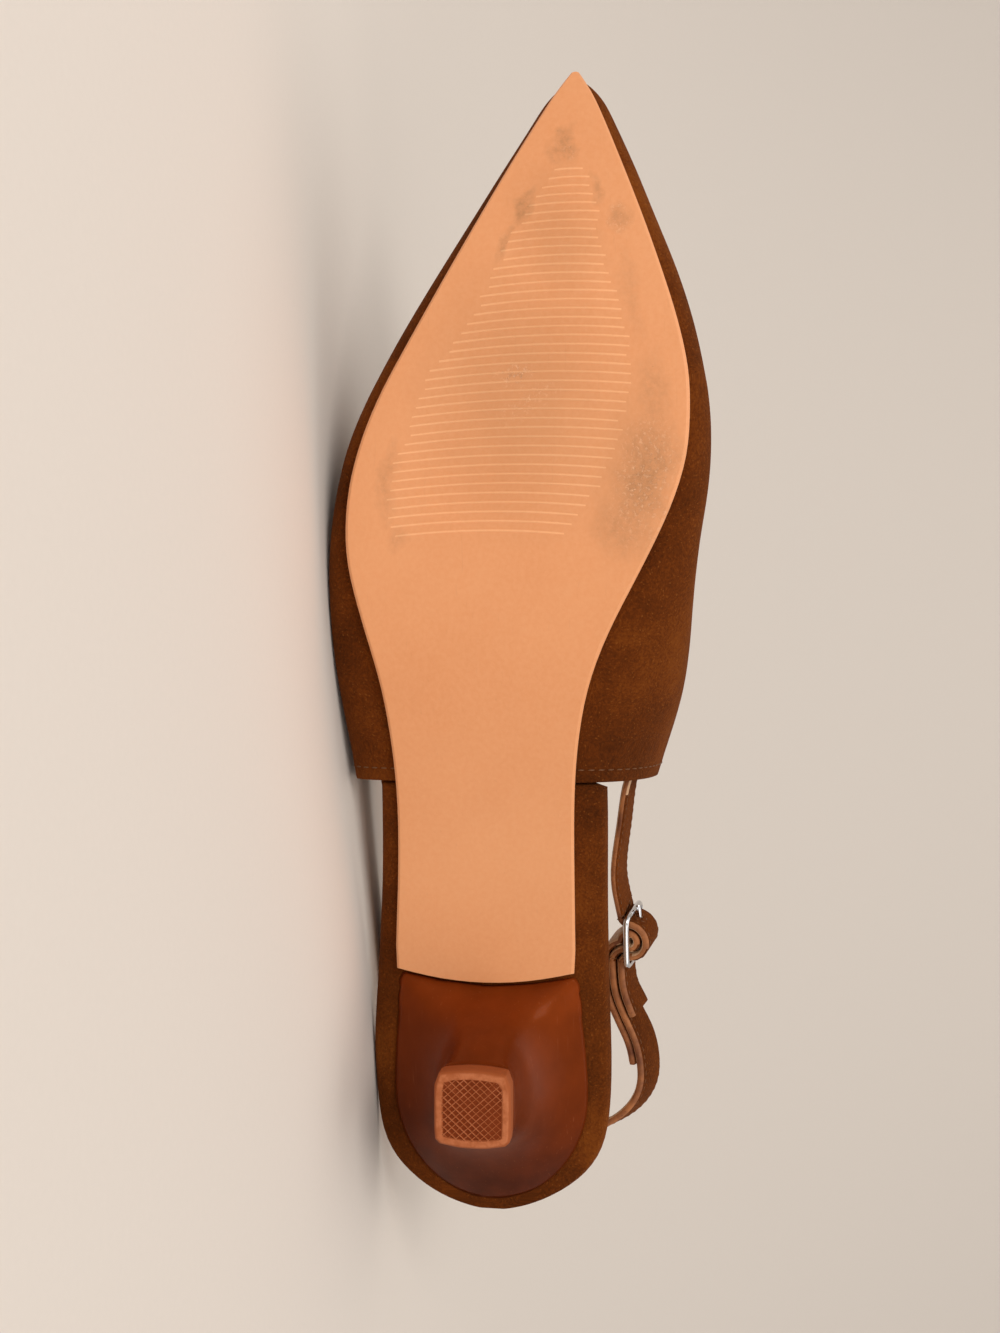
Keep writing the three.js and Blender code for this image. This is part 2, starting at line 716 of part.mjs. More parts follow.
// Points of the free run of the sling strap: along the shoe, across it and up, as shares of the
// length behind the vamp, the seat's width and the heel height, with the lean of the strap in degrees.
const slingRun = [
  { along: 0.499, across: 0.522, up: 1.4, lean: 18 },
  { along: 0.439, across: 0.568, up: 1.425, lean: 24 },
  { along: 0.379, across: 0.617, up: 1.45, lean: 27 },
  { along: 0.324, across: 0.638, up: 1.475, lean: 27 },
  { along: 0.270, across: 0.636, up: 1.505, lean: 25 },
  { along: 0.225, across: 0.604, up: 1.535, lean: 21 },
  { along: 0.185, across: 0.54, up: 1.56, lean: 17 },
  { along: 0.152, across: 0.44, up: 1.58, lean: 13 },
  { along: 0.132, across: 0.3, up: 1.6, lean: 10 },
  { along: 0.122, across: 0.1, up: 1.605, lean: 6 },
  { along: 0.132, across: -0.1, up: 1.6, lean: 4 },
  { along: 0.167, across: -0.28, up: 1.585, lean: 4 },
  { along: 0.235, across: -0.4, up: 1.56, lean: 5 },
  { along: 0.349, across: -0.465, up: 1.51, lean: 6 },
  { along: 0.499, across: -0.478, up: 1.4, lean: 6 },
  { along: 0.674, across: -0.468, up: 1.27, lean: 6 },
  { along: 0.848, across: -0.431, up: 1.14, lean: 5 },
];

// The free run of the front strap, from the vamp to the buckle.
const frontRun = [
  { along: 0.978, across: 0.571, up: 0.975, lean: 8 },
  { along: 0.893, across: 0.549, up: 1.06, lean: 10 },
  { along: 0.776, across: 0.522, up: 1.175, lean: 12 },
];

// Where a strap lies against the inside of the vamp, and the further room that its lean takes there.
const vampRuns = [
  { side: 'outer', up: 1.03, room: 0.3 },
  { side: 'inner', up: 0.93, room: 0 },
];

function vampSeat(side, share) {
  const x = rearEdge + strapOverlap * share;
  const run = vampRuns.find((row) => row.side === side);
  const up = heelHeight * run.up;
  const free = [-1, 0, 1].map((k) => innerWall(x, side, up + (k * strapWidth) / 2 - soleTop(x)));
  const half = Math.min(...free) - strapThickness / 2 - run.room;
  return new THREE.Vector3(x, sideSign(side) * half, up);
}

function runPoints(rows) {
  return rows.map((row) => new THREE.Vector3(
    row.along * rearEdge,
    row.across * seatWidth,
    row.up * heelHeight,
  ));
}

// A flat band along a path. Each stop has a place and the direction of the band's width.
function bandGeometry(stops) {
  const solid = new Solid();
  const half = strapWidth / 2;
  const thick = strapThickness / 2;
  const corner = strapCorner;
  const outline = [
    [-half + corner, -thick], [half - corner, -thick], [half, -thick + corner], [half, thick - corner],
    [half - corner, thick], [-half + corner, thick], [-half, thick - corner], [-half, -thick + corner],
  ];
  const rings = stops.map((stop, i) => {
    const before = stops[Math.max(i - 1, 0)].place;
    const after = stops[Math.min(i + 1, stops.length - 1)].place;
    const along = after.clone().sub(before).normalize();
    const face = new THREE.Vector3().crossVectors(along, stop.width).normalize();
    const width = new THREE.Vector3().crossVectors(face, along);
    return solid.ring(outline.map(([w, t]) => stop.place.clone()
      .addScaledVector(width, w).addScaledVector(face, t).toArray()));
  });
  rings.slice(1).forEach((ring, i) => solid.join(rings[i], ring));
  fanLid(solid, rings[0], false);
  fanLid(solid, rings[rings.length - 1], true);
  return solid.geometry();
}

// Width direction of a strap at a point of its path: upright, leaning outwards.
function leaningWidth(curve, place, lean) {
  const along = curve.getTangent(place);
  const outwards = new THREE.Vector3(along.y, -along.x, 0).normalize();
  const turn = THREE.MathUtils.degToRad(lean);
  return new THREE.Vector3(0, 0, Math.cos(turn)).addScaledVector(outwards, Math.sin(turn));
}

// Stops along a smooth curve through points, with the lean of the band between them.
function curveStops(points, leans, steps) {
  const curve = new THREE.CatmullRomCurve3(points, false, 'centripetal');
  return Array.from({ length: steps + 1 }, (_, i) => {
    const place = i / steps;
    const spot = place * (leans.length - 1);
    const low = Math.min(Math.floor(spot), leans.length - 2);
    const lean = mix(leans[low], leans[low + 1], spot - low);
    return { place: curve.getPoint(place), width: leaningWidth(curve, place, lean) };
  });
}

const onAcross = (place) => ({ place, width: buckleAcross });
const buckleLean = THREE.MathUtils.radToDeg(buckleTilt);

// The free run of the sling strap, from under the rear of the buckle to the outer side of the vamp.
function slingStops() {
  const seats = [0.15, 0.55, 1].map((share) => vampSeat('outer', share));
  const points = [onBuckle(buckleReach, -secondWrap), ...runPoints(slingRun), ...seats];
  const leans = [buckleLean, ...slingRun.map((row) => row.lean), 4, 3, 2];
  return curveStops(points, leans, slingSteps);
}

// A layer beside the first stops of the sling strap, at a distance outwards.
function layerStops(count, distance) {
  const stops = slingStops().slice(0, count + 2);
  return stops.slice(1, -1).map((stop, i) => {
    const along = stops[i + 2].place.clone().sub(stops[i].place).normalize();
    const face = new THREE.Vector3().crossVectors(along, stop.width).normalize();
    return { place: stop.place.clone().addScaledVector(face, distance), width: stop.width };
  });
}

// The sling strap: its end is folded round the bar of the buckle and doubled under itself.
function slingGeometry() {
  const layer = strapThickness + doubledGap;
  const under = buckleArc(buckleReach, secondWrap + layer, 262, 200, 6);
  const fold = buckleArc(0, firstWrap, 262, 10, 14);
  const over = buckleArc(buckleReach, secondWrap, 186, 264, 8);
  const round = [...under, ...fold, ...over].map(onAcross);
  const stops = [...layerStops(doubledSteps, -layer).reverse(), ...round, ...slingStops()];
  return cut(bandGeometry(stops), barSlot());
}

// The slot in the fold, where the prong goes round the bar.
function barSlot() {
  const reach = 2 * (firstWrap + strapThickness / 2 + pieceGap);
  const slot = new THREE.BoxGeometry(reach, 2 * (prongWire + pieceGap), reach);
  const basis = new THREE.Matrix4().makeBasis(buckleRearwards, buckleAcross, buckleOutwards);
  return slot.applyMatrix4(basis.setPosition(buckleCentre));
}

// The front strap: under the front of the frame, over the bar and the fold, and under the rear.
function frontStrapGeometry() {
  const seats = [1, 0.55, 0.15].map((share) => vampSeat('inner', share));
  const points = [...seats, ...runPoints(frontRun), onBuckle(-buckleReach, -firstWrap)];
  const leans = [0, 2, 5, ...frontRun.map((row) => row.lean), buckleLean];
  const dip = buckleArc(-buckleReach, firstWrap, -90, 0, 5).slice(1);
  const hump = buckleArc(0, secondWrap, 180, 0, 12).slice(1);
  const rise = buckleArc(buckleReach, firstWrap, 180, 270, 5).slice(1);
  const round = [...dip, ...hump, ...rise].map(onAcross);
  const tail = layerStops(tailSteps, secondWrap - firstWrap);
  const stops = [...curveStops(points, leans, frontSteps), ...round, ...tail];
  return cut(bandGeometry(stops), prongGeometry(pieceGap));
}

// A round wire along a path in a plane; a closed path makes a ring.
function wireGeometry(path, radius, sides, closed, normal) {
  const solid = new Solid();
  const count = path.length;
  const rings = path.map((place, i) => {
    const before = closed ? path[(i + count - 1) % count] : path[Math.max(i - 1, 0)];
    const after = closed ? path[(i + 1) % count] : path[Math.min(i + 1, count - 1)];
    const second = new THREE.Vector3().crossVectors(after.clone().sub(before).normalize(), normal);
    return solid.ring(Array.from({ length: sides }, (_, k) => {
      const turn = (2 * Math.PI * (k + 0.5)) / sides;
      return place.clone().addScaledVector(normal, radius * Math.cos(turn))
        .addScaledVector(second, radius * Math.sin(turn)).toArray();
    }));
  });
  rings.slice(1).forEach((ring, i) => solid.join(rings[i], ring));
  if (closed) {
    solid.join(rings[count - 1], rings[0]);
  } else {
    fanLid(solid, rings[0], false);
    fanLid(solid, rings[count - 1], true);
  }
  return solid.geometry();
}

// The buckle's frame: a rounded rectangle of wire, with a bar across its middle.
const wireSides = 8;
const cornerSteps = 3;

function buckleFrameGeometry() {
  const corners = [[1, 1, 0], [-1, 1, 90], [-1, -1, 180], [1, -1, 270]];
  const path = corners.flatMap(([a, c, start]) => Array.from({ length: cornerSteps + 1 }, (_, i) => {
    const turn = THREE.MathUtils.degToRad(start + (90 * i) / cornerSteps);
    const rearwards = a * (buckleReach - buckleCornerRadius) + buckleCornerRadius * Math.cos(turn);
    const across = c * (buckleHalfWidth - buckleCornerRadius) + buckleCornerRadius * Math.sin(turn);
    return onBuckle(rearwards, 0, across);
  }));
  const rim = wireGeometry(path, buckleWire, wireSides, true, buckleOutwards);
  const bar = [-buckleHalfWidth, buckleHalfWidth].map((across) => onBuckle(0, 0, across));
  return fuse(rim, wireGeometry(bar, 0.97 * buckleWire, wireSides, false, buckleOutwards));
}

// The prong: an eye round the bar, and a shank that pierces the strap and lies on the frame.
const eyeSteps = 12;

function prongGeometry(clearance) {
  const eyeRadius = buckleWire + pieceGap + prongWire;
  const eye = buckleArc(0, eyeRadius, 0, 360, eyeSteps).slice(1);
  const rest = buckleWire + pieceGap + prongWire;
  const shank = [
    onBuckle(-eyeRadius * Math.cos(Math.PI / 4), eyeRadius * Math.sin(Math.PI / 4)),
    onBuckle(-buckleReach / 2, rest),
    onBuckle(-buckleReach, rest),
    onBuckle(-buckleReach - 2 * buckleWire, rest - buckleWire / 2),
  ];
  const radius = prongWire + clearance;
  return fuse(
    wireGeometry(eye, radius, wireSides, true, buckleAcross),
    wireGeometry(shank, 0.97 * radius, wireSides, false, buckleAcross),
  );
}

// Joining and cutting of closed solids
function solidOf(geometry) {
  const bare = new THREE.BufferGeometry();
  bare.setAttribute('position', geometry.getAttribute('position'));
  bare.setIndex(geometry.getIndex());
  const merged = mergeVertices(bare, 1e-4);
  return new wasm.Manifold(new wasm.Mesh({
    numProp: 3,
    vertProperties: merged.getAttribute('position').array,
    triVerts: new Uint32Array(merged.getIndex().array),
  }));
}

function geometryOf(solid) {
  const mesh = solid.getMesh();
  const geometry = new THREE.BufferGeometry();
  geometry.setAttribute('position', new THREE.BufferAttribute(mesh.vertProperties, 3));
  geometry.setIndex(new THREE.BufferAttribute(mesh.triVerts, 1));
  geometry.computeVertexNormals();
  return geometry;
}

function cut(body, tool) {
  return geometryOf(solidOf(body).subtract(solidOf(tool)));
}

function fuse(first, second) {
  return geometryOf(solidOf(first).add(solidOf(second)));
}

// Colours of the materials
const suede = { color: 0x643209, roughness: 0.95, metalness: 0 };
const soleRubber = { color: 0xe49b69, roughness: 0.6, metalness: 0 };
const heelPlastic = { color: 0x783214, roughness: 0.25, metalness: 0 };
const tipRubber = { color: 0x915032, roughness: 0.7, metalness: 0 };
const silver = { color: 0xd9d9dc, roughness: 0.15, metalness: 1 };

const shoe = new THREE.Group();
const weights = new Map();

function piece(name, geometry, finish, weight) {
  const mesh = new THREE.Mesh(geometry, new THREE.MeshStandardMaterial(finish));
  mesh.name = name;
  shoe.add(mesh);
  weights.set(mesh, weight);
}

piece('outsole', outsoleGeometry(), soleRubber, rubberWeight);
piece('upper', upperGeometry(), suede, leatherWeight);
piece('footbed', footbedGeometry(), suede, leatherWeight);
piece('heel', heelGeometry(), heelPlastic, plasticWeight);
piece('heel_tip', heelTipGeometry(), tipRubber, rubberWeight);
piece('sling_strap', slingGeometry(), suede, leatherWeight);
piece('buckle_strap', frontStrapGeometry(), suede, leatherWeight);
piece('buckle_frame', buckleFrameGeometry(), silver, steelWeight);
piece('buckle_prong', prongGeometry(0), silver, steelWeight);

// Volume of a mesh and its first moment, summed over its triangles.
function massOf(mesh) {
  const position = mesh.geometry.getAttribute('position');
  const index = mesh.geometry.getIndex();
  const sum = { volume: 0, moment: new THREE.Vector3() };
  for (let i = 0; i < index.count; i += 3) {
    const corner = (k) => new THREE.Vector3().fromBufferAttribute(position, index.getX(i + k));
    const [a, b, c] = [0, 1, 2].map(corner);
    const volume = a.dot(b.clone().cross(c)) / 6;
    sum.volume += volume;
    sum.moment.addScaledVector(a.clone().add(b).add(c), volume / 4);
  }
  return sum;
}

function balancePoint() {
  const total = new THREE.Vector3();
  let weight = 0;
  for (const [mesh, each] of weights) {
    const sum = massOf(mesh);
    total.addScaledVector(sum.moment, each);
    weight += sum.volume * each;
  }
  return total.divideScalar(weight);
}

// The face of the shoe's hull on its outer side that the balance point stands over.
function restingNormal() {
  const points = [...weights.keys()].flatMap((mesh) => {
    const position = mesh.geometry.getAttribute('position');
    const corner = (_, i) => new THREE.Vector3().fromBufferAttribute(position, i);
    return Array.from({ length: position.count }, corner);
  });
  const balance = balancePoint();
  const outerSide = new THREE.Vector3(0, -1, 0);
  const hull = new ConvexHull().setFromPoints(points);
  const faces = hull.faces.filter((face) => face.normal.dot(outerSide) > 0.5);
  const margins = faces.map((face) => {
    const edges = [face.getEdge(0), face.getEdge(1), face.getEdge(2)];
    return Math.min(...edges.map((edge) => {
      const along = edge.head().point.clone().sub(edge.tail().point).normalize();
      const inwards = face.normal.clone().cross(along);
      return balance.clone().sub(edge.tail().point).dot(inwards);
    }));
  });
  return faces[margins.indexOf(Math.max(...margins))].normal;
}

// Lays the shoe down: the resting face looks down, the toe points along -X and the sole along -Y.
function layDown() {
  const up = restingNormal().clone().negate();
  const heelwards = new THREE.Vector3(-1, 0, 0);
  heelwards.addScaledVector(up, -heelwards.dot(up)).normalize();
  const across = new THREE.Vector3().crossVectors(up, heelwards);
  const turn = new THREE.Matrix4().makeBasis(heelwards, across, up).transpose();
  shoe.quaternion.setFromRotationMatrix(turn);
  shoe.updateMatrixWorld(true);
  const box = new THREE.Box3().setFromObject(shoe, true);
  const middle = box.getCenter(new THREE.Vector3());
  shoe.position.set(-middle.x, -middle.y, -box.min.z);
}

layDown();

const group = new THREE.Group();
group.add(shoe);

export default group;
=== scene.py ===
"""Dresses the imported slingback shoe: smooth forms, suede, ribbed sole, glossy heel and polished buckle."""

import json
import logging
import math
import random
from dataclasses import dataclass, field
from enum import Enum

import bmesh
import bpy
from mathutils import Matrix, Vector
from mathutils.bvhtree import BVHTree

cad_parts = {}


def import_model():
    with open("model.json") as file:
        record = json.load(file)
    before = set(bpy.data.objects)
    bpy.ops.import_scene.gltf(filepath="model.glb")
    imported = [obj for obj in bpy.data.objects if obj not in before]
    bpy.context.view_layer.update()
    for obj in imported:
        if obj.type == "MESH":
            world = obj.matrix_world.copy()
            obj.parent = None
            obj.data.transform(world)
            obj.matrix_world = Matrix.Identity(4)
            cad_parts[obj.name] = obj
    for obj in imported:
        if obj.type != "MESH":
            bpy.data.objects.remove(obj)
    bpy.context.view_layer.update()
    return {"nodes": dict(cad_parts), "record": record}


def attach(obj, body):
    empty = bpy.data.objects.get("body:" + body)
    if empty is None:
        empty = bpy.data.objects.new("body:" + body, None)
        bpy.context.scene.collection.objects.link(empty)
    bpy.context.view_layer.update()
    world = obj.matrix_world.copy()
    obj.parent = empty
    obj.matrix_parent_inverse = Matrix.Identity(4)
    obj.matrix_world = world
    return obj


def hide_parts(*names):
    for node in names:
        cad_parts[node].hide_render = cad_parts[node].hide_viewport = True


log = logging.getLogger("slingback")

MM = 0.001
BODY = "root"
SHOE_PLACE = "shoe_place"

# Numbers of the sockets for colours in a mix node
COLOUR_A = 6
COLOUR_B = 7
COLOUR_RESULT = 2

# Cross product under which two directions count as parallel
PARALLEL = 1e-12

# Mean of a noise's three channels
NOISE_MIDDLE = (0.5, 0.5, 0.5)

Colour = tuple[float, float, float]
Socket = bpy.types.NodeSocket
Run = list[tuple[Vector, Vector]]


class Slot(Enum):
    """Material slots of the record."""

    SOLE = "sole_rubber"
    SUEDE = "suede"
    STRAP = "strap_suede"
    HEEL = "heel_gloss"
    TIP = "tip_rubber"
    METAL = "buckle_metal"


class Sum(Enum):
    """Sums of the node trees."""

    TIMES = "MULTIPLY"
    PLUS = "ADD"
    MINUS = "SUBTRACT"
    MOST = "MAXIMUM"


def srgb(red: int, green: int, blue: int) -> Colour:
    """Linear colour of an 8-bit screen colour."""
    def linear(value: int) -> float:
        """Linear value of one channel."""
        share = value / 255
        return share / 12.92 if share <= 0.04045 else ((share + 0.055) / 1.055) ** 2.4

    return (linear(red), linear(green), linear(blue))


def darker(colour: Colour, share: float) -> Colour:
    """Colour with each channel cut to a share."""
    return tuple(value * share for value in colour)


@dataclass(frozen=True)
class ShoeFrame:
    """The frame of the standing shoe: X from heel to toe, Y to the inner side, Z up, in metres.

    It is found from the two faces that the shoe stands on, which are mounts of the record.
    """

    to_row: Matrix
    heel_tip_middle: tuple[float, float] = (36.9 * MM, 1.0 * MM)
    forefoot_middle: tuple[float, float] = (185 * MM, 12 * MM)

    @classmethod
    def from_record(cls, record: dict) -> "ShoeFrame":
        """Works the frame out from the mounts.

        Args:
            record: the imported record.

        Returns:
            The frame of the standing shoe.
        """
        mounts = {mount["name"]: mount for mount in record["mounts"]}
        heel = Vector(mounts["heel_tip_ground_face"]["pos_m"])
        forefoot = Vector(mounts["forefoot_ground_face"]["pos_m"])
        up = -Vector(mounts["heel_tip_ground_face"]["axis"]).normalized()
        run = forefoot - heel
        run = (run - up * run.dot(up)).normalized()
        side = up.cross(run)
        swing = math.atan2(
            cls.forefoot_middle[1] - cls.heel_tip_middle[1],
            cls.forefoot_middle[0] - cls.heel_tip_middle[0],
        )
        ahead = run * math.cos(swing) - side * math.sin(swing)
        across = up.cross(ahead)
        turn = Matrix((ahead, across, up)).transposed().to_4x4()
        origin = heel - ahead * cls.heel_tip_middle[0] - across * cls.heel_tip_middle[1]
        return cls(Matrix.Translation(origin) @ turn)

    def place(self, along: float, across: float, height: float) -> Vector:
        """Place in the row frame of a place given in the shoe's frame."""
        return self.to_row @ Vector((along, across, height))

    def direction(self, along: float, across: float, height: float) -> Vector:
        """Direction in the row frame of a direction given in the shoe's frame."""
        return self.to_row.to_3x3() @ Vector((along, across, height))

    def shoe_place(self, point: Vector) -> Vector:
        """Place in the shoe's frame of a place given in the row frame."""
        return self.to_row.inverted() @ point


class NodeSheet:
    """A short way to add and link nodes in a node tree."""

    def __init__(self, tree: bpy.types.NodeTree) -> None:
        """Keeps the tree that nodes are added to."""
        self.tree = tree

    def add(self, kind: str, inputs: dict | None = None, **settings: object) -> bpy.types.Node:
        """Adds a node.

        Args:
            kind: the node's type name.
            inputs: values or output sockets for its inputs, by name or number.
            settings: values of the node's own properties.

        Returns:
            The node.
        """
        node = self.tree.nodes.new(kind)
        for name, value in settings.items():
            setattr(node, name, value)
        for key, value in (inputs or {}).items():
            self.feed(node.inputs[key], value)
        return node

    def feed(self, socket: Socket, value: object) -> None:
        """Links an output to a socket, or sets the socket's own value."""
        if isinstance(value, Socket):
            self.tree.links.new(value, socket)
        elif isinstance(value, tuple) and len(value) == 3 and socket.type == "RGBA":
            socket.default_value = (*value, 1)
        else:
            socket.default_value = value

    def math(self, sum_kind: Sum, first: object, second: object) -> Socket:
        """Result of a sum on two values."""
        return self.add("ShaderNodeMath", {0: first, 1: second}, operation=sum_kind.value).outputs[0]

    def times(self, first: object, second: object) -> Socket:
        """Product of two values."""
        return self.math(Sum.TIMES, first, second)

    def plus(self, first: object, second: object) -> Socket:
        """Sum of two values."""
        return self.math(Sum.PLUS, first, second)

    def minus(self, first: object, second: object) -> Socket:
        """Difference of two values."""
        return self.math(Sum.MINUS, first, second)

    def most(self, first: object, second: object) -> Socket:
        """Greater of two values."""
        return self.math(Sum.MOST, first, second)

    def vectors(self, sum_kind: Sum, first: object, second: object) -> Socket:
        """Result of a sum on two vectors."""
        inputs = {0: first, 1: second}
        return self.add("ShaderNodeVectorMath", inputs, operation=sum_kind.value).outputs[0]

    def bent(self, place: object, scale: float, reach: tuple[float, float, float]) -> Socket:
        """Place shifted by noise, at most half the reach either way."""
        warp = self.add("ShaderNodeTexNoise", {"Vector": place, "Scale": scale, "Detail": 3.0})
        shift = self.vectors(Sum.MINUS, warp.outputs["Color"], NOISE_MIDDLE)
        return self.vectors(Sum.PLUS, place, self.vectors(Sum.TIMES, shift, reach))

    def spread(self, value: object, low: float, high: float) -> Socket:
        """Value stretched so that low to high becomes 0 to 1, and clamped."""
        inputs = {"Value": value, "From Min": low, "From Max": high}
        return self.add("ShaderNodeMapRange", inputs).outputs[0]

    def group(self, tree: bpy.types.NodeTree, place: object, inputs: dict) -> bpy.types.Node:
        """Node of a shared group, fed with a place."""
        return self.add("ShaderNodeGroup", {"Place": place, **inputs}, node_tree=tree)

    def noise(self, place: object, scale: object, detail: float = 3, roughness: float = 0.55) -> Socket:
        """Noise at a scale given in waves for each metre."""
        inputs = {"Vector": place, "Scale": scale, "Detail": detail, "Roughness": roughness}
        return self.add("ShaderNodeTexNoise", inputs).outputs["Fac"]

    def mix(self, share: object, first: object, second: object) -> Socket:
        """Colour between two colours."""
        inputs = {"Factor": share, COLOUR_A: first, COLOUR_B: second}
        return self.add("ShaderNodeMix", inputs, data_type="RGBA").outputs[COLOUR_RESULT]

    def parts(self, vector: object) -> tuple[Socket, ...]:
        """X, Y and Z of a vector."""
        node = self.add("ShaderNodeSeparateXYZ", {0: vector})
        return node.outputs[0], node.outputs[1], node.outputs[2]

    def bump(self, height: object, distance: float, strength: float = 1.0) -> Socket:
        """Normal of a surface with that relief; the distance is in metres."""
        inputs = {"Height": height, "Distance": distance, "Strength": strength}
        return self.add("ShaderNodeBump", inputs).outputs[0]


def smooth_faces(mesh: bmesh.types.BMesh) -> None:
    """Shades every face of a mesh smoothly."""
    for face in mesh.faces:
        face.smooth = True


def draw_profile(mesh: bmesh.types.BMesh, places: list[list[Vector]]) -> None:
    """Draws a chain of corners through a row of places, by extruding it from one to the next.

    Args:
        mesh: the mesh that it is drawn in.
        places: the chain's corners at each place.
    """
    corners = [mesh.verts.new(place) for place in places[0]]
    edges = [mesh.edges.new(pair) for pair in zip(corners, corners[1:])]
    for row in places[1:]:
        made = bmesh.ops.extrude_edge_only(mesh, edges=edges)["geom"]
        fresh = [item for item in made if isinstance(item, bmesh.types.BMVert)]
        before = {edge.other_vert(vert): vert for vert in fresh for edge in vert.link_edges
                  if edge.other_vert(vert) not in fresh}
        corners = [before[corner] for corner in corners]
        for corner, place in zip(corners, row):
            corner.co = place
        edges = [item for item in made if isinstance(item, bmesh.types.BMEdge)
                 and all(vert in fresh for vert in item.verts)]


class SharedEffects:
    """Node groups that several finishes use."""

    def __init__(self) -> None:
        """Builds the groups once."""
        self.nap = self.make_nap()
        self.scuffs = self.make_scuffs()

    @staticmethod
    def open_group(name: str, inputs: dict[str, str], outputs: tuple[str, ...]) -> tuple:
        """Starts a group.

        Args:
            name: the group's name.
            inputs: socket type of each input.
            outputs: names of its outputs, which are values.

        Returns:
            The group, its sheet, its input node and its output node.
        """
        group = bpy.data.node_groups.new(name, "ShaderNodeTree")
        for label, kind in inputs.items():
            group.interface.new_socket(label, in_out="INPUT", socket_type=kind)
        for label in outputs:
            group.interface.new_socket(label, in_out="OUTPUT", socket_type="NodeSocketFloat")
        sheet = NodeSheet(group)
        return group, sheet, sheet.add("NodeGroupInput"), sheet.add("NodeGroupOutput")

    def make_nap(self) -> bpy.types.NodeTree:
        """Brushed nap of suede: patches that lie either way, short fibres and pale flecks."""
        group, sheet, given, result = self.open_group(
            "suede_nap",
            {"Place": "NodeSocketVector", "Fibre Scale": "NodeSocketFloat"},
            ("Patches", "Fibres", "Flecks", "Height"),
        )
        place = given.outputs["Place"]
        bent = sheet.bent(place, 90.0, (6 * MM, 6 * MM, 6 * MM))
        fibres = sheet.noise(bent, given.outputs["Fibre Scale"], 4, 0.65)
        cells = sheet.add("ShaderNodeTexVoronoi", {"Vector": bent, "Scale": 900.0})
        coarse = sheet.noise(bent, 320.0)
        sheet.feed(result.inputs["Patches"], sheet.noise(bent, 42.0, 4, 0.6))
        sheet.feed(result.inputs["Fibres"], fibres)
        sheet.feed(result.inputs["Flecks"], sheet.spread(cells.outputs["Distance"], 0.22, 0.08))
        sheet.feed(result.inputs["Height"], sheet.plus(sheet.times(fibres, 0.8), sheet.times(coarse, 0.7)))
        return group

    def make_scuffs(self) -> bpy.types.NodeTree:
        """Fine scratches and rubbed marks on a smooth surface."""
        group, sheet, given, result = self.open_group(
            "scuffs",
            {"Place": "NodeSocketVector", "Scale": "NodeSocketFloat"},
            ("Scratches", "Rubbed"),
        )
        inputs = {0: given.outputs["Place"], "Scale": given.outputs["Scale"]}
        sized = sheet.add("ShaderNodeVectorMath", inputs, operation="SCALE").outputs[0]
        lines = []
        for turn, waves_along in ((0.5, 40.0), (-0.9, 30.0), (1.9, 50.0)):
            inputs = {
                "Vector": sized,
                "Rotation": (turn, turn * 0.7, turn * 1.3),
                "Scale": (waves_along, 1400.0, 1400.0),
            }
            mapped = sheet.add("ShaderNodeMapping", inputs).outputs[0]
            lines.append(sheet.spread(sheet.noise(mapped, 1.0, 2, 0.5), 0.7, 0.78))
        rubbed = sheet.spread(sheet.noise(sized, 55.0, 5, 0.62), 0.52, 0.72)
        sheet.feed(result.inputs["Scratches"], sheet.most(sheet.most(lines[0], lines[1]), lines[2]))
        sheet.feed(result.inputs["Rubbed"], rubbed)
        return group


@dataclass(frozen=True)
class Finish:
    """A material with a Principled shader and a place read from the shoe's own frame."""

    name: str

    def build(self) -> bpy.types.Material:
        """Builds the material."""
        material = bpy.data.materials.new(self.name)
        material.use_nodes = True
        material.node_tree.nodes.clear()
        sheet = NodeSheet(material.node_tree)
        place = sheet.add("ShaderNodeAttribute", attribute_name=SHOE_PLACE).outputs["Vector"]
        shader = sheet.add("ShaderNodeBsdfPrincipled", self.sockets(sheet, place))
        sheet.add("ShaderNodeOutputMaterial", {"Surface": shader.outputs[0]})
        return material

    def sockets(self, sheet: NodeSheet, place: Socket) -> dict[str, object]:
        """Values and outputs for the shader's sockets.

        Args:
            sheet: the material's sheet.
            place: the place in the shoe's frame.

        Returns:
            Value or output for each socket that isn't left as it is.
        """
        raise NotImplementedError


@dataclass(frozen=True)
class Suede(Finish):
    """Napped brown suede."""

    effects: SharedEffects
    dark: Colour = srgb(64, 27, 3)
    middle: Colour = srgb(94, 43, 7)
    light: Colour = srgb(126, 67, 18)
    fleck: Colour = srgb(156, 94, 40)
    sheen: Colour = srgb(186, 112, 54)

    def sockets(self, sheet: NodeSheet, place: Socket) -> dict[str, object]:
        """Values and outputs for the shader's sockets."""
        nap = sheet.group(self.effects.nap, place, {"Fibre Scale": 1500.0}).outputs
        tone = sheet.plus(sheet.times(sheet.spread(nap["Patches"], 0.3, 0.7), 0.55),
                          sheet.times(sheet.spread(nap["Fibres"], 0.3, 0.7), 0.45))
        base = sheet.mix(sheet.spread(tone, 0.1, 0.55), self.dark, self.middle)
        base = sheet.mix(sheet.times(sheet.spread(tone, 0.5, 1.0), 0.75), base, self.light)
        return {
            "Base Color": sheet.mix(sheet.times(nap["Flecks"], 0.3), base, self.fleck),
            "Normal": sheet.bump(nap["Height"], 0.35 * MM),
            "Roughness": 0.93,
            "Sheen Weight": 0.16,
            "Sheen Roughness": 0.5,
            "Sheen Tint": self.sheen,
            "Specular IOR Level": 0.08,
        }


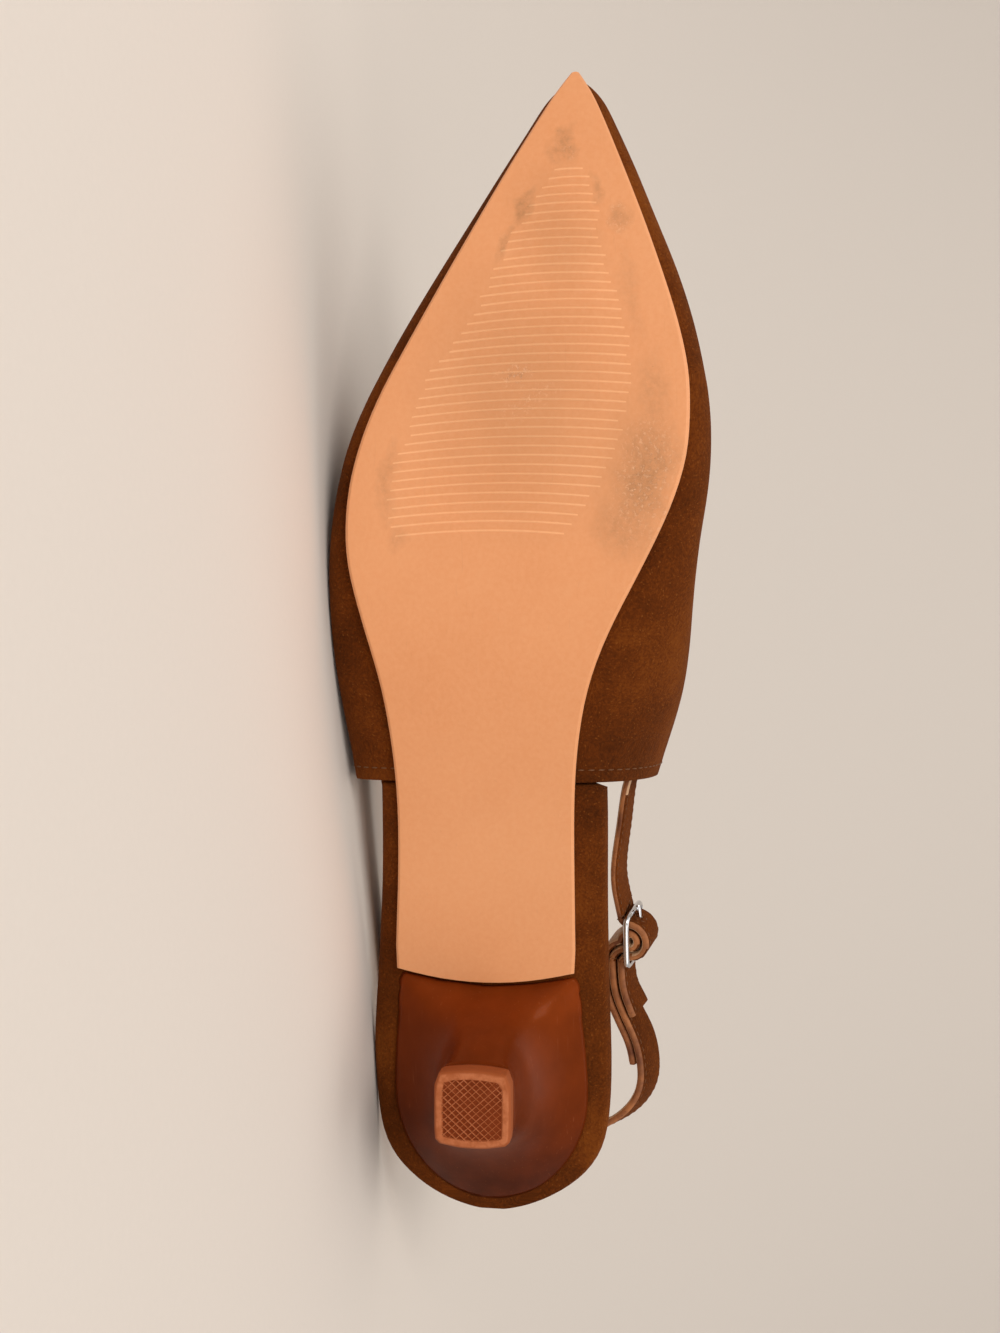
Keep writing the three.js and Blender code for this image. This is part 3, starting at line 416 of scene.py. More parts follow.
@dataclass(frozen=True)
class LiningLeather(Finish):
    """Smooth pale lining leather with fine pores."""

    effects: SharedEffects
    pale: Colour = srgb(206, 164, 124)
    shade: Colour = srgb(172, 128, 92)

    def sockets(self, sheet: NodeSheet, place: Socket) -> dict[str, object]:
        """Values and outputs for the shader's sockets."""
        cells = sheet.add("ShaderNodeTexVoronoi", {"Vector": place, "Scale": 1300.0},
                          feature="DISTANCE_TO_EDGE")
        pores = sheet.spread(cells.outputs["Distance"], 0.0, 0.12)
        scuffs = sheet.group(self.effects.scuffs, place, {"Scale": 1.0}).outputs
        base = sheet.mix(sheet.spread(sheet.noise(place, 60.0, 4), 0.3, 0.7), self.shade, self.pale)
        return {
            "Base Color": sheet.mix(sheet.times(scuffs["Rubbed"], 0.25), base, self.shade),
            "Normal": sheet.bump(pores, 0.06 * MM),
            "Roughness": 0.55,
        }


@dataclass(frozen=True)
class Mark:
    """A soft oval of wear on the sole: its middle and half sizes in millimetres, its turn in degrees."""

    along: float
    across: float
    turn: float
    half_length: float
    half_width: float
    strength: float

    def mask(self, sheet: NodeSheet, flat: Socket) -> Socket:
        """Mask of the mark.

        Args:
            sheet: the material's sheet.
            flat: the place along and across the shoe.

        Returns:
            The mask, from 0 to the mark's strength.
        """
        inputs = {
            "Vector": flat,
            "Location": (self.along * MM, self.across * MM, 0),
            "Rotation": (0, 0, math.radians(self.turn)),
            "Scale": (self.half_length * MM, self.half_width * MM, 1),
        }
        local = sheet.add("ShaderNodeMapping", inputs, vector_type="TEXTURE")
        far = sheet.add("ShaderNodeVectorMath", {0: local.outputs[0]}, operation="LENGTH")
        return sheet.times(sheet.spread(far.outputs["Value"], 1.0, 0.25), self.strength)


@dataclass(frozen=True)
class SoleRubber(Finish):
    """Peach-tan sole, greyed over its ribs and smudged, rubbed and speckled at the toe and ball."""

    effects: SharedEffects
    tan: Colour = srgb(224, 154, 104)
    deep: Colour = srgb(217, 145, 95)
    pale: Colour = srgb(240, 184, 142)
    soil: Colour = srgb(140, 100, 62)
    smudges: tuple[Mark, ...] = (
        Mark(259, 22.5, 0, 6.5, 3.2, 0.75),
        Mark(256.5, 20.5, 0, 4, 3, 0.5),
        Mark(243.5, 12.8, 25, 5.5, 2.6, 0.8),
        Mark(235.5, 8, 28, 6.5, 2, 0.6),
        Mark(247, 29.5, -20, 4.5, 2, 0.55),
        Mark(240, 34.5, 0, 4, 3, 0.5),
        Mark(222, 37, -10, 14, 3, 0.25),
        Mark(199, 42.5, -5, 14, 4.5, 0.35),
        Mark(181, 40, 12, 17, 8, 0.75),
        Mark(170, 36, 20, 9, 9, 0.45),
        Mark(181, -18.5, 12, 12, 3, 0.4),
        Mark(168, -17, 0, 4, 3.5, 0.35),
    )
    greyed: tuple[Mark, ...] = (
        Mark(200, 12, -8, 36, 28, 0.8),
        Mark(236, 20, -14, 22, 12, 0.6),
        Mark(184, 36, 0, 26, 14, 0.6),
    )
    rubbed: tuple[Mark, ...] = (
        Mark(204.5, 11, 80, 5.5, 3.4, 1.0),
        Mark(198, 14, 60, 9, 3.2, 0.5),
        Mark(180, 40.5, 8, 17, 8.5, 0.75),
        Mark(240, 34.5, 0, 4, 3.2, 0.7),
        Mark(256.8, 22.8, 0, 2.6, 2.2, 0.6),
    )

    def sockets(self, sheet: NodeSheet, place: Socket) -> dict[str, object]:
        """Values and outputs for the shader's sockets."""
        flat = sheet.vectors(Sum.TIMES, place, (1.0, 1.0, 0.0))
        ragged = sheet.bent(flat, 160.0, (7 * MM, 7 * MM, 0.0))
        grain = sheet.noise(place, 900.0, 4)
        base = sheet.mix(sheet.spread(sheet.noise(place, 18.0), 0.3, 0.7), self.deep, self.tan)
        base = sheet.mix(sheet.times(sheet.spread(grain, 0.35, 0.7), 0.12), base, self.pale)
        base = sheet.mix(sheet.times(self.strongest(self.greyed, sheet, ragged), 0.3), base, self.soil)
        soil = self.smudging(sheet, place, self.strongest(self.smudges, sheet, ragged))
        base = sheet.mix(soil, base, self.soil)
        flecks = sheet.spread(sheet.noise(place, 950.0, 5, 0.75), 0.53, 0.62)
        rub = sheet.times(self.strongest(self.rubbed, sheet, ragged), flecks)
        height = sheet.minus(sheet.times(grain, 0.35), sheet.times(soil, 0.4))
        return {
            "Base Color": sheet.mix(rub, base, self.pale),
            "Normal": sheet.bump(sheet.minus(height, rub), 0.09 * MM),
            "Roughness": sheet.plus(0.42, sheet.times(sheet.most(soil, rub), 0.3)),
            "Specular IOR Level": 0.3,
        }

    def smudging(self, sheet: NodeSheet, place: Socket, smudged: Socket) -> Socket:
        """Soil broken up into blotches and specks, with faint dark scratches beside it.

        Args:
            sheet: the material's sheet.
            place: the place in the shoe's frame.
            smudged: mask of the smudges.

        Returns:
            How much soil lies at each place.
        """
        blotch = sheet.spread(sheet.noise(place, 520.0, 6, 0.75), 0.36, 0.62)
        soil = sheet.times(smudged, sheet.plus(0.2, sheet.times(blotch, 0.46)))
        specks = sheet.spread(sheet.noise(place, 1300.0, 2), 0.68, 0.74)
        soil = sheet.most(soil, sheet.times(specks, sheet.times(smudged, 1.2)))
        scuffs = sheet.group(self.effects.scuffs, place, {"Scale": 1.0}).outputs
        return sheet.most(soil, sheet.times(scuffs["Scratches"], 0.06))

    @staticmethod
    def strongest(marks: tuple[Mark, ...], sheet: NodeSheet, flat: Socket) -> Socket:
        """Mask of several marks.

        Args:
            marks: the marks.
            sheet: the material's sheet.
            flat: the place along and across the shoe.

        Returns:
            The strongest mark at each place.
        """
        total = marks[0].mask(sheet, flat)
        for mark in marks[1:]:
            total = sheet.most(total, mark.mask(sheet, flat))
        return total


@dataclass(frozen=True)
class HeelGloss(Finish):
    """Glossy reddish-brown heel with faint cloudy depth, and painted shade that darkens it towards its back.
    """

    effects: SharedEffects
    red: Colour = srgb(122, 50, 14)
    # dark is both the painted shade at the heel's back and the tone of its faint cloudy depth.
    dark: Colour = srgb(58, 17, 1)
    scratch: Colour = srgb(170, 100, 66)
    # Places along the heel over which the painted shade at its back fades in.
    rear_shade_span: tuple[float, float] = (58 * MM, 8 * MM)

    def sockets(self, sheet: NodeSheet, place: Socket) -> dict[str, object]:
        """Values and outputs for the shader's sockets."""
        # Painted shade: the base colour darkens towards the heel's back, and faint random clouds add to it.
        rear_shade = sheet.spread(sheet.parts(place)[0], *self.rear_shade_span)
        cloud = sheet.spread(sheet.noise(place, 70.0, 4), 0.35, 0.7)
        share = sheet.plus(sheet.times(rear_shade, 0.7), sheet.times(cloud, 0.35))
        scuffs = sheet.group(self.effects.scuffs, place, {"Scale": 1.4}).outputs
        base = sheet.mix(share, self.red, self.dark)
        return {
            "Base Color": sheet.mix(sheet.times(scuffs["Scratches"], 0.25), base, self.scratch),
            "Normal": sheet.bump(sheet.noise(place, 240.0, 2), 0.03 * MM),
            "Roughness": sheet.plus(0.32, sheet.times(scuffs["Rubbed"], 0.12)),
            "Specular IOR Level": 0.5,
            "Specular Tint": srgb(255, 150, 90),
            "IOR": 1.26,
            "Coat Weight": 0.045,
            "Coat IOR": 1.36,
            "Coat Roughness": 0.12,
            "Coat Tint": srgb(255, 206, 170),
        }


@dataclass(frozen=True)
class TipRubber(Finish):
    """Brown rubber top piece, paler on its worn ridges."""

    brown: Colour = srgb(150, 78, 42)
    worn: Colour = srgb(186, 112, 74)
    worn_height: float = 0.3 * MM

    def sockets(self, sheet: NodeSheet, place: Socket) -> dict[str, object]:
        """Values and outputs for the shader's sockets."""
        ground = sheet.spread(sheet.parts(place)[2], self.worn_height, 0.0)
        rubbed = sheet.spread(sheet.noise(place, 500.0, 4, 0.65), 0.38, 0.6)
        share = sheet.times(ground, sheet.plus(0.2, sheet.times(rubbed, 0.6)))
        return {
            "Base Color": sheet.mix(share, self.brown, self.worn),
            "Normal": sheet.bump(sheet.noise(place, 1500.0), 0.06 * MM),
            "Roughness": 0.62,
            "Specular IOR Level": 0.2,
            "Specular Tint": srgb(255, 190, 150),
        }


@dataclass(frozen=True)
class StrapEdge(Finish):
    """Cut edge of a strap: compressed layers of leather, pale in patches."""

    pale: Colour = srgb(172, 106, 56)
    shade: Colour = srgb(100, 50, 18)

    def sockets(self, sheet: NodeSheet, place: Socket) -> dict[str, object]:
        """Values and outputs for the shader's sockets."""
        fibres = sheet.noise(place, 1400.0, 4)
        base = sheet.mix(sheet.spread(sheet.noise(place, 200.0), 0.3, 0.7), self.shade, self.pale)
        return {
            "Base Color": sheet.mix(sheet.spread(fibres, 0.6, 0.75), base, self.shade),
            "Normal": sheet.bump(fibres, 0.1 * MM),
            "Roughness": 0.75,
        }


@dataclass(frozen=True)
class Thread(Finish):
    """Twisted sewing thread."""

    colour: Colour = srgb(118, 70, 26)

    def sockets(self, sheet: NodeSheet, place: Socket) -> dict[str, object]:
        """Values and outputs for the shader's sockets."""
        twist = sheet.add("ShaderNodeTexWave", {"Vector": place, "Scale": 900.0, "Distortion": 1.0})
        return {
            "Base Color": sheet.mix(twist.outputs["Fac"], darker(self.colour, 0.55), self.colour),
            "Normal": sheet.bump(twist.outputs["Fac"], 0.08 * MM),
            "Roughness": 0.7,
        }


@dataclass(frozen=True)
class PolishedMetal(Finish):
    """Polished silver metal with light handling marks."""

    effects: SharedEffects
    silver: Colour = srgb(222, 222, 224)

    def sockets(self, sheet: NodeSheet, place: Socket) -> dict[str, object]:
        """Values and outputs for the shader's sockets."""
        scuffs = sheet.group(self.effects.scuffs, place, {"Scale": 3.0}).outputs
        dull = darker(self.silver, 0.8)
        return {
            "Base Color": sheet.mix(sheet.times(scuffs["Rubbed"], 0.4), self.silver, dull),
            "Normal": sheet.bump(scuffs["Scratches"], 0.02 * MM),
            "Roughness": sheet.plus(0.12, sheet.times(scuffs["Rubbed"], 0.14)),
            "Metallic": 1.0,
        }


@dataclass(frozen=True)
class StudioPaper(Finish):
    """Plain warm pale paper with faint fibres, placed by its own coordinates."""

    colour: Colour = srgb(216, 206, 196)

    def sockets(self, sheet: NodeSheet, place: Socket) -> dict[str, object]:
        """Values and outputs for the shader's sockets."""
        fibres = sheet.noise(sheet.add("ShaderNodeTexCoord").outputs["Object"], 700.0)
        return {
            "Base Color": sheet.mix(fibres, darker(self.colour, 0.97), self.colour),
            "Roughness": 0.9,
        }


class PieceMaker:
    """Turns meshes into finished pieces that ride on the shoe and carry its frame."""

    merge_reach = 0.004 * MM
    pair_bend = 28
    pair_skew = 65

    def __init__(self, shoe: ShoeFrame, nodes: dict[str, bpy.types.Object]) -> None:
        """Keeps the shoe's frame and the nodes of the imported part."""
        self.shoe = shoe
        self.nodes = nodes

    def copy_mesh(self, node: str) -> bmesh.types.BMesh:
        """Copy of a node's mesh with its shared corners merged and its triangles paired.

        Args:
            node: the node's name.

        Returns:
            The mesh, which the caller frees.
        """
        mesh = bmesh.new()
        mesh.from_mesh(self.nodes[node].data)
        for layer in mesh.loops.layers.uv.values():
            mesh.loops.layers.uv.remove(layer)
        bmesh.ops.remove_doubles(mesh, verts=mesh.verts, dist=self.merge_reach)
        bmesh.ops.dissolve_degenerate(mesh, edges=mesh.edges, dist=self.merge_reach / 2)
        bmesh.ops.join_triangles(
            mesh, faces=mesh.faces, angle_face_threshold=math.radians(self.pair_bend),
            angle_shape_threshold=math.radians(self.pair_skew),
        )
        return mesh

    @staticmethod
    def hold_edges(mesh: bmesh.types.BMesh, angle: float, crease: float, sharp: bool = False) -> None:
        """Keeps the edges that turn more than an angle.

        Args:
            mesh: the mesh.
            angle: the least angle between two faces, in degrees.
            crease: how firmly a subdivision holds such an edge, from 0 to 1.
            sharp: whether the shading breaks there too.
        """
        layer = mesh.edges.layers.float.get("crease_edge") or mesh.edges.layers.float.new("crease_edge")
        limit = math.radians(angle)
        smooth_faces(mesh)
        for edge in mesh.edges:
            turned = len(edge.link_faces) == 2 and edge.calc_face_angle(0) > limit
            edge[layer] = crease if turned else 0.0
            edge.smooth = not (turned and sharp)

    def finish(self, name: str, mesh: bmesh.types.BMesh, slot: Slot, materials: list[bpy.types.Material],
               levels: int = 0, replaces: tuple[str, ...] = ()) -> bpy.types.Object:
        """Makes the piece, with its place in the shoe's frame as an attribute.

        Args:
            name: the piece's name.
            mesh: its mesh, which is freed.
            slot: the record's slot for the piece; not used.
            materials: its materials, in the order of the faces' numbers.
            levels: levels of subdivision.
            replaces: nodes that it stands for.

        Returns:
            The piece.
        """
        data = bpy.data.meshes.new(name)
        mesh.to_mesh(data)
        mesh.free()
        if "custom_normal" in data.attributes:
            data.attributes.remove(data.attributes["custom_normal"])
        for material in materials:
            data.materials.append(material)
        layer = data.attributes.new(SHOE_PLACE, "FLOAT_VECTOR", "POINT")
        places = [self.shoe.shoe_place(vertex.co) for vertex in data.vertices]
        layer.data.foreach_set("vector", [value for place in places for value in place])
        piece = bpy.data.objects.new(name, data)
        bpy.context.scene.collection.objects.link(piece)
        if levels:
            smoothing = piece.modifiers.new("smooth_form", "SUBSURF")
            smoothing.levels = smoothing.render_levels = levels
        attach(piece, BODY)
        if replaces:
            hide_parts(*replaces)
        log.info("%s: %d faces", name, len(data.polygons))
        return piece


@dataclass
class Finishes:
    """Every material of the shoe."""

    effects: SharedEffects = field(default_factory=SharedEffects)

    def __post_init__(self) -> None:
        """Builds the materials."""
        self.suede = Suede("suede_nap_brown", self.effects).build()
        self.lining = LiningLeather("lining_leather", self.effects).build()
        self.sole = SoleRubber("sole_rubber_tan", self.effects).build()
        # Paler copy of the sole rubber for the ribs: a painted highlight along each rib.
        self.rib = SoleRubber(
            "sole_rib_painted_highlight", self.effects,
            tan=srgb(240, 176, 126), deep=srgb(235, 166, 114), pale=srgb(248, 198, 156),
        ).build()
        self.heel = HeelGloss("heel_gloss_brown", self.effects).build()
        self.tip = TipRubber("tip_rubber_brown").build()
        # Darker copy of the tip rubber for the pocket's floor: painted shade in the recess between the
        # lattice bars.
        self.pocket = TipRubber("tip_pocket_painted_shade", brown=srgb(112, 46, 18), worn=srgb(130, 60, 30)).build()
        self.edge = StrapEdge("strap_cut_edge").build()
        self.thread = Thread("thread_brown").build()
        self.metal = PolishedMetal("buckle_silver", self.effects).build()
        self.paper = StudioPaper("studio_paper").build()


@dataclass
class PieceGroup:
    """Pieces that are made together, with the maker and the finishes that they share."""

    maker: PieceMaker
    finishes: Finishes


@dataclass
class Sole(PieceGroup):
    """The outsole with its ribs."""

    rib_pitch: float = 2.1 * MM
    rib_width: float = 0.62 * MM
    rib_height: float = 0.2 * MM
    rib_bow: float = 1.3 * MM
    bowed_length: float = 50 * MM
    rib_steps: int = 26
    zone_start: float = 0.5 * MM
    zone_jitter: float = 0.9 * MM
    least_fullness: float = 0.6
    end_height: float = 0.05
    end_slope: float = 5
    below: float = -50 * MM

    # Section of a rib: places across it as shares of half its width, and heights as shares of its height
    rib_section: tuple = ((-1, -0.4), (-0.5, 0.7), (0, 1), (0.5, 0.7), (1, -0.4))

    # Ends of the ribbed zone across the shoe, by the place along it, in millimetres
    zone: tuple = (
        (168, -16, 22),
        (171, -18, 24),
        (175.5, -18.3, 28),
        (183, -17.5, 32),
        (190.5, -14.5, 34.3),
        (198, -11.5, 35.8),
        (205.5, -8.5, 37),
        (213, -3.2, 36.6),
        (220.5, 2, 35),
        (228.7, 6, 32),
        (235.5, 9, 30),
        (241.5, 12.5, 29.5),
        (246, 15.9, 29),
        (250.5, 18.5, 26.8),
        (253.8, 20.2, 25.6),
    )

    def build(self) -> None:
        """Builds the outsole and its ribs."""
        mesh = self.maker.copy_mesh("outsole")
        self.maker.hold_edges(mesh, angle=35, crease=0.9, sharp=True)
        tree = BVHTree.FromBMesh(mesh)
        materials = [self.finishes.sole]
        self.maker.finish("sole_plate", mesh, Slot.SOLE, materials, levels=1, replaces=("outsole",))
        self.build_ribs(tree)

    def zone_ends(self, along: float) -> tuple[float, float]:
        """Ends across the shoe of the rib at a place along it, in metres."""
        spot = along / MM
        for low, high in zip(self.zone, self.zone[1:]):
            if low[0] <= spot <= high[0]:
                share = (spot - low[0]) / (high[0] - low[0])
                return tuple((low[k] + (high[k] - low[k]) * share) * MM for k in (1, 2))
        raise ValueError("a rib lies outside the ribbed zone")

    def build_ribs(self, tree: BVHTree) -> None:
        """Draws each rib's section across the underside of the sole.

        Args:
            tree: the sole's faces.
        """
        mesh = bmesh.new()
        hand = random.Random(39)
        along = self.zone[0][0] * MM + self.zone_start
        while along < self.zone[-1][0] * MM:
            first, last = (end + hand.uniform(-1, 1) * self.zone_jitter for end in self.zone_ends(along))
            fullness = hand.uniform(self.least_fullness, 1)
            places = []
            for step in range(self.rib_steps + 1):
                share = step / self.rib_steps
                bow = self.rib_bow * (1 - (2 * share - 1) ** 2) * (last - first) / self.bowed_length
                taper = fullness * min(1.0, self.end_slope * min(share, 1 - share) + self.end_height)
                places.append(self.section(tree, along + bow, first + (last - first) * share, taper))
            draw_profile(mesh, places)
            along += self.rib_pitch
        bmesh.ops.recalc_face_normals(mesh, faces=mesh.faces)
        smooth_faces(mesh)
        # The ribs wear the paler rubber, a painted highlight.
        self.maker.finish("sole_ribs", mesh, Slot.SOLE, [self.finishes.rib])

    def section(self, tree: BVHTree, along: float, across: float, taper: float) -> list[Vector]:
        """Section of a rib: a low rounded ridge whose feet are sunk in the sole.

        Args:
            tree: the sole's faces.
            along: place along the shoe.
            across: place across the shoe.
            taper: height as a share of the full height.

        Returns:
            The section's corners.
        """
        shoe = self.maker.shoe
        down = shoe.direction(0, 0, -1)
        corners = []
        for share, rise in self.rib_section:
            start = shoe.place(along + share * self.rib_width / 2, across, self.below)
            hit = tree.ray_cast(start, -down)[0]
            corners.append(hit + down * (self.rib_height * rise * (taper if rise > 0 else 1)))
        return corners


@dataclass
class Seam(PieceGroup):
    """Rows of stitches beside the borders of a piece, or beyond the rim that starts at such a border.

    With a rim, the inset is a step down from the rim's surface that leads past its corner.
    """

    inset: float = 1.8 * MM
    pitch: float = 2.5 * MM
    length: float = 1.9 * MM
    width: float = 0.42 * MM
    rise: float = 0.02 * MM
    rim: float = 0.0
    furthest: float = 209 * MM
    covered_height: float = 18 * MM
    covered_lean: float = 0.5
    least_places: int = 5

    def sew(self, name: str, slot: Slot, runs: list[Run]) -> None:
        """Makes the stitches of some runs.

        Args:
            name: the piece's name.
            slot: the record's slot for the piece, passed on but not used.
            runs: places and outward directions along each seam.
        """
        mesh = bmesh.new()
        for run in runs:
            for place, normal, ahead in self.spaced(run):
                self.add_stitch(mesh, place, normal, ahead)
        smooth_faces(mesh)
        self.maker.finish(name, mesh, slot, [self.finishes.thread])

    def spaced(self, run: Run) -> list[tuple[Vector, Vector, Vector]]:
        """Even places along a run.

        Args:
            run: places and outward directions along the seam.

        Returns:
            Place, outward direction and direction along the seam of each stitch.
        """
        found = []
        left = self.pitch / 2
        for (start, out_a), (end, out_b) in zip(run, run[1:]):
            leg = end - start
            reach = leg.length
            while left < reach:
                share = left / reach
                found.append((start + leg * share, out_a.lerp(out_b, share).normalized(), leg.normalized()))
                left += self.pitch
            left -= reach
        return found

    def add_stitch(self, mesh: bmesh.types.BMesh, place: Vector, normal: Vector, ahead: Vector) -> None:
        """Adds one stitch: a short thread that dips into the piece at both ends.

        Args:
            mesh: the stitches' mesh.
            place: its middle on the surface.
            normal: direction out of the surface.
            ahead: direction along the seam.
        """
        side = normal.cross(ahead).normalized()
        ahead = side.cross(normal).normalized()
        turn = Matrix((ahead, side, normal)).transposed().to_4x4()
        size = Matrix.Diagonal((self.length, self.width, self.width, 1))
        at = Matrix.Translation(place + normal * self.rise)
        bmesh.ops.create_icosphere(mesh, subdivisions=1, radius=0.5, matrix=at @ turn @ size)

    def beside_border(self, piece: bpy.types.Object, sewn: int, least_height: float) -> list[Run]:
        """Runs on one finish of a piece, a little way in from its border with another finish.

        Args:
            piece: the finished piece.
            sewn: number of the material that is sewn.
            least_height: height in the shoe's frame under which there is no seam.

        Returns:
            Places and outward directions along each run.
        """
        shape = bpy.context.evaluated_depsgraph_get()
        mesh = bmesh.new()
        mesh.from_mesh(piece.evaluated_get(shape).to_mesh())
        mesh.normal_update()
        tree = BVHTree.FromBMesh(mesh)
        links: dict[bmesh.types.BMVert, list] = {}
        for edge in mesh.edges:
            kinds = [face.material_index for face in edge.link_faces]
            if len(kinds) == 2 and kinds.count(sewn) == 1:
                for vert in edge.verts:
                    links.setdefault(vert, []).append(edge)
        runs = []
        while links:
            ends = [vert for vert, edges in links.items() if len(edges) == 1]
            chain = self.walk(links, ends[0] if ends else next(iter(links)))
            run = [self.inset_place(tree, vert, edge, sewn) for vert, edge in chain]
            runs += self.kept(run, least_height)
        mesh.free()
        return runs

    def kept(self, run: Run, least_height: float) -> list[Run]:
        """Stretches of a run above a height, behind the throat's end and not under the footbed.

        Args:
            run: places and outward directions along the seam.
            least_height: height in the shoe's frame under which there is no seam.

        Returns:
            The stretches that have enough places.
        """
        up = self.maker.shoe.direction(0, 0, 1)
        stretches: list[Run] = [[]]
        for spot, normal in run:
            place = self.maker.shoe.shoe_place(spot)
            covered = place.z < self.covered_height and normal.dot(up) > self.covered_lean
            if place.z > least_height and place.x < self.furthest and not covered:
                stretches[-1].append((spot, normal))
            elif stretches[-1]:
                stretches.append([])
        return [stretch for stretch in stretches if len(stretch) >= self.least_places]

    @staticmethod
    def walk(links: dict, vert: bmesh.types.BMVert) -> list[tuple]:
        """Follows a border from one of its corners to its end, and takes it out of the table.

        Args:
            links: the border's edges at each of its corners.
            vert: the first corner.

        Returns:
            Each corner with the edge that leaves it.
        """
        chain = []
        while vert is not None:
            edges = links.pop(vert)
            onward = [edge for edge in edges if edge.other_vert(vert) in links]
            chain.append((vert, (onward or edges)[0]))
            vert = onward[0].other_vert(vert) if onward else None
        return chain

    def inset_place(self, tree: BVHTree, vert: bmesh.types.BMVert, edge: bmesh.types.BMEdge,
                    sewn: int) -> tuple[Vector, Vector]:
        """Place on the piece beside a corner of its border.

        Args:
            tree: the piece's faces.
            vert: the corner.
            edge: an edge of the border at that corner.
            sewn: number of the material that is sewn.

        Returns:
            The place and the direction out of the surface there.
        """
        face = next(face for face in edge.link_faces if face.material_index == sewn)
        along = (edge.verts[1].co - edge.verts[0].co).normalized()
        inward = along.cross(face.normal)
        if inward.dot(face.calc_center_median() - vert.co) < 0:
            inward.negate()
        step = inward * self.rim - face.normal * self.inset if self.rim else inward * self.inset
        place, normal, _, _ = tree.find_nearest(vert.co + step)
        return place, normal


@dataclass
class Vamp(PieceGroup):
    """The suede upper with its lining and its topstitching."""

    band: float = 4 * MM
    core_height: float = 0.42
    lining_lean: float = 0.4
    stitch_floor: float = 9 * MM

    def build(self) -> None:
        """Builds the upper."""
        mesh = self.maker.copy_mesh("upper")
        self.maker.hold_edges(mesh, angle=50, crease=0.55)
        mesh.normal_update()
        cores = self.cores(mesh)
        shoe = self.maker.shoe
        for face in mesh.faces:
            middle = shoe.shoe_place(face.calc_center_median())
            inward = shoe.place(middle.x, *cores[int(middle.x // self.band)]) - face.calc_center_median()
            face.material_index = 1 if face.normal.dot(inward.normalized()) > self.lining_lean else 0
        materials = [self.finishes.suede, self.finishes.lining]
        piece = self.maker.finish("vamp", mesh, Slot.SUEDE, materials, levels=2, replaces=("upper",))
        seam = Seam(self.maker, self.finishes, inset=3.2 * MM, rim=3 * MM)
        runs = seam.beside_border(piece, sewn=0, least_height=self.stitch_floor)
        seam.sew("vamp_topstitch", Slot.SUEDE, runs)

    def cores(self, mesh: bmesh.types.BMesh) -> dict[int, tuple[float, float]]:
        """Middle of the hollow across the shoe and in height, for each band along the shoe.

        Args:
            mesh: the upper's mesh.

        Returns:
            Place across and height of the middle, by the number of the band.
        """
        found: dict[int, list[Vector]] = {}
        for vert in mesh.verts:
            place = self.maker.shoe.shoe_place(vert.co)
            for step in (-1, 0, 1):
                found.setdefault(int(place.x // self.band) + step, []).append(place)
        cores = {}
        for number, places in found.items():
            sides = [place.y for place in places]
            heights = [place.z for place in places]
            low = min(heights)
            cores[number] = ((min(sides) + max(sides)) / 2, low + (max(heights) - low) * self.core_height)
        return cores


@dataclass
class Footbed(PieceGroup):
    """The footbed: suede round its edge and under it, lining leather on top."""

    top_lean: float = 0.5

    def build(self) -> None:
        """Builds the footbed."""
        mesh = self.maker.copy_mesh("footbed")
        self.maker.hold_edges(mesh, angle=40, crease=0.6)
        up = self.maker.shoe.direction(0, 0, 1)
        mesh.normal_update()
        for face in mesh.faces:
            face.material_index = 1 if face.normal.dot(up) > self.top_lean else 0
        materials = [self.finishes.suede, self.finishes.lining]
        self.maker.finish("wrapped_footbed", mesh, Slot.SUEDE, materials, levels=1, replaces=("footbed",))


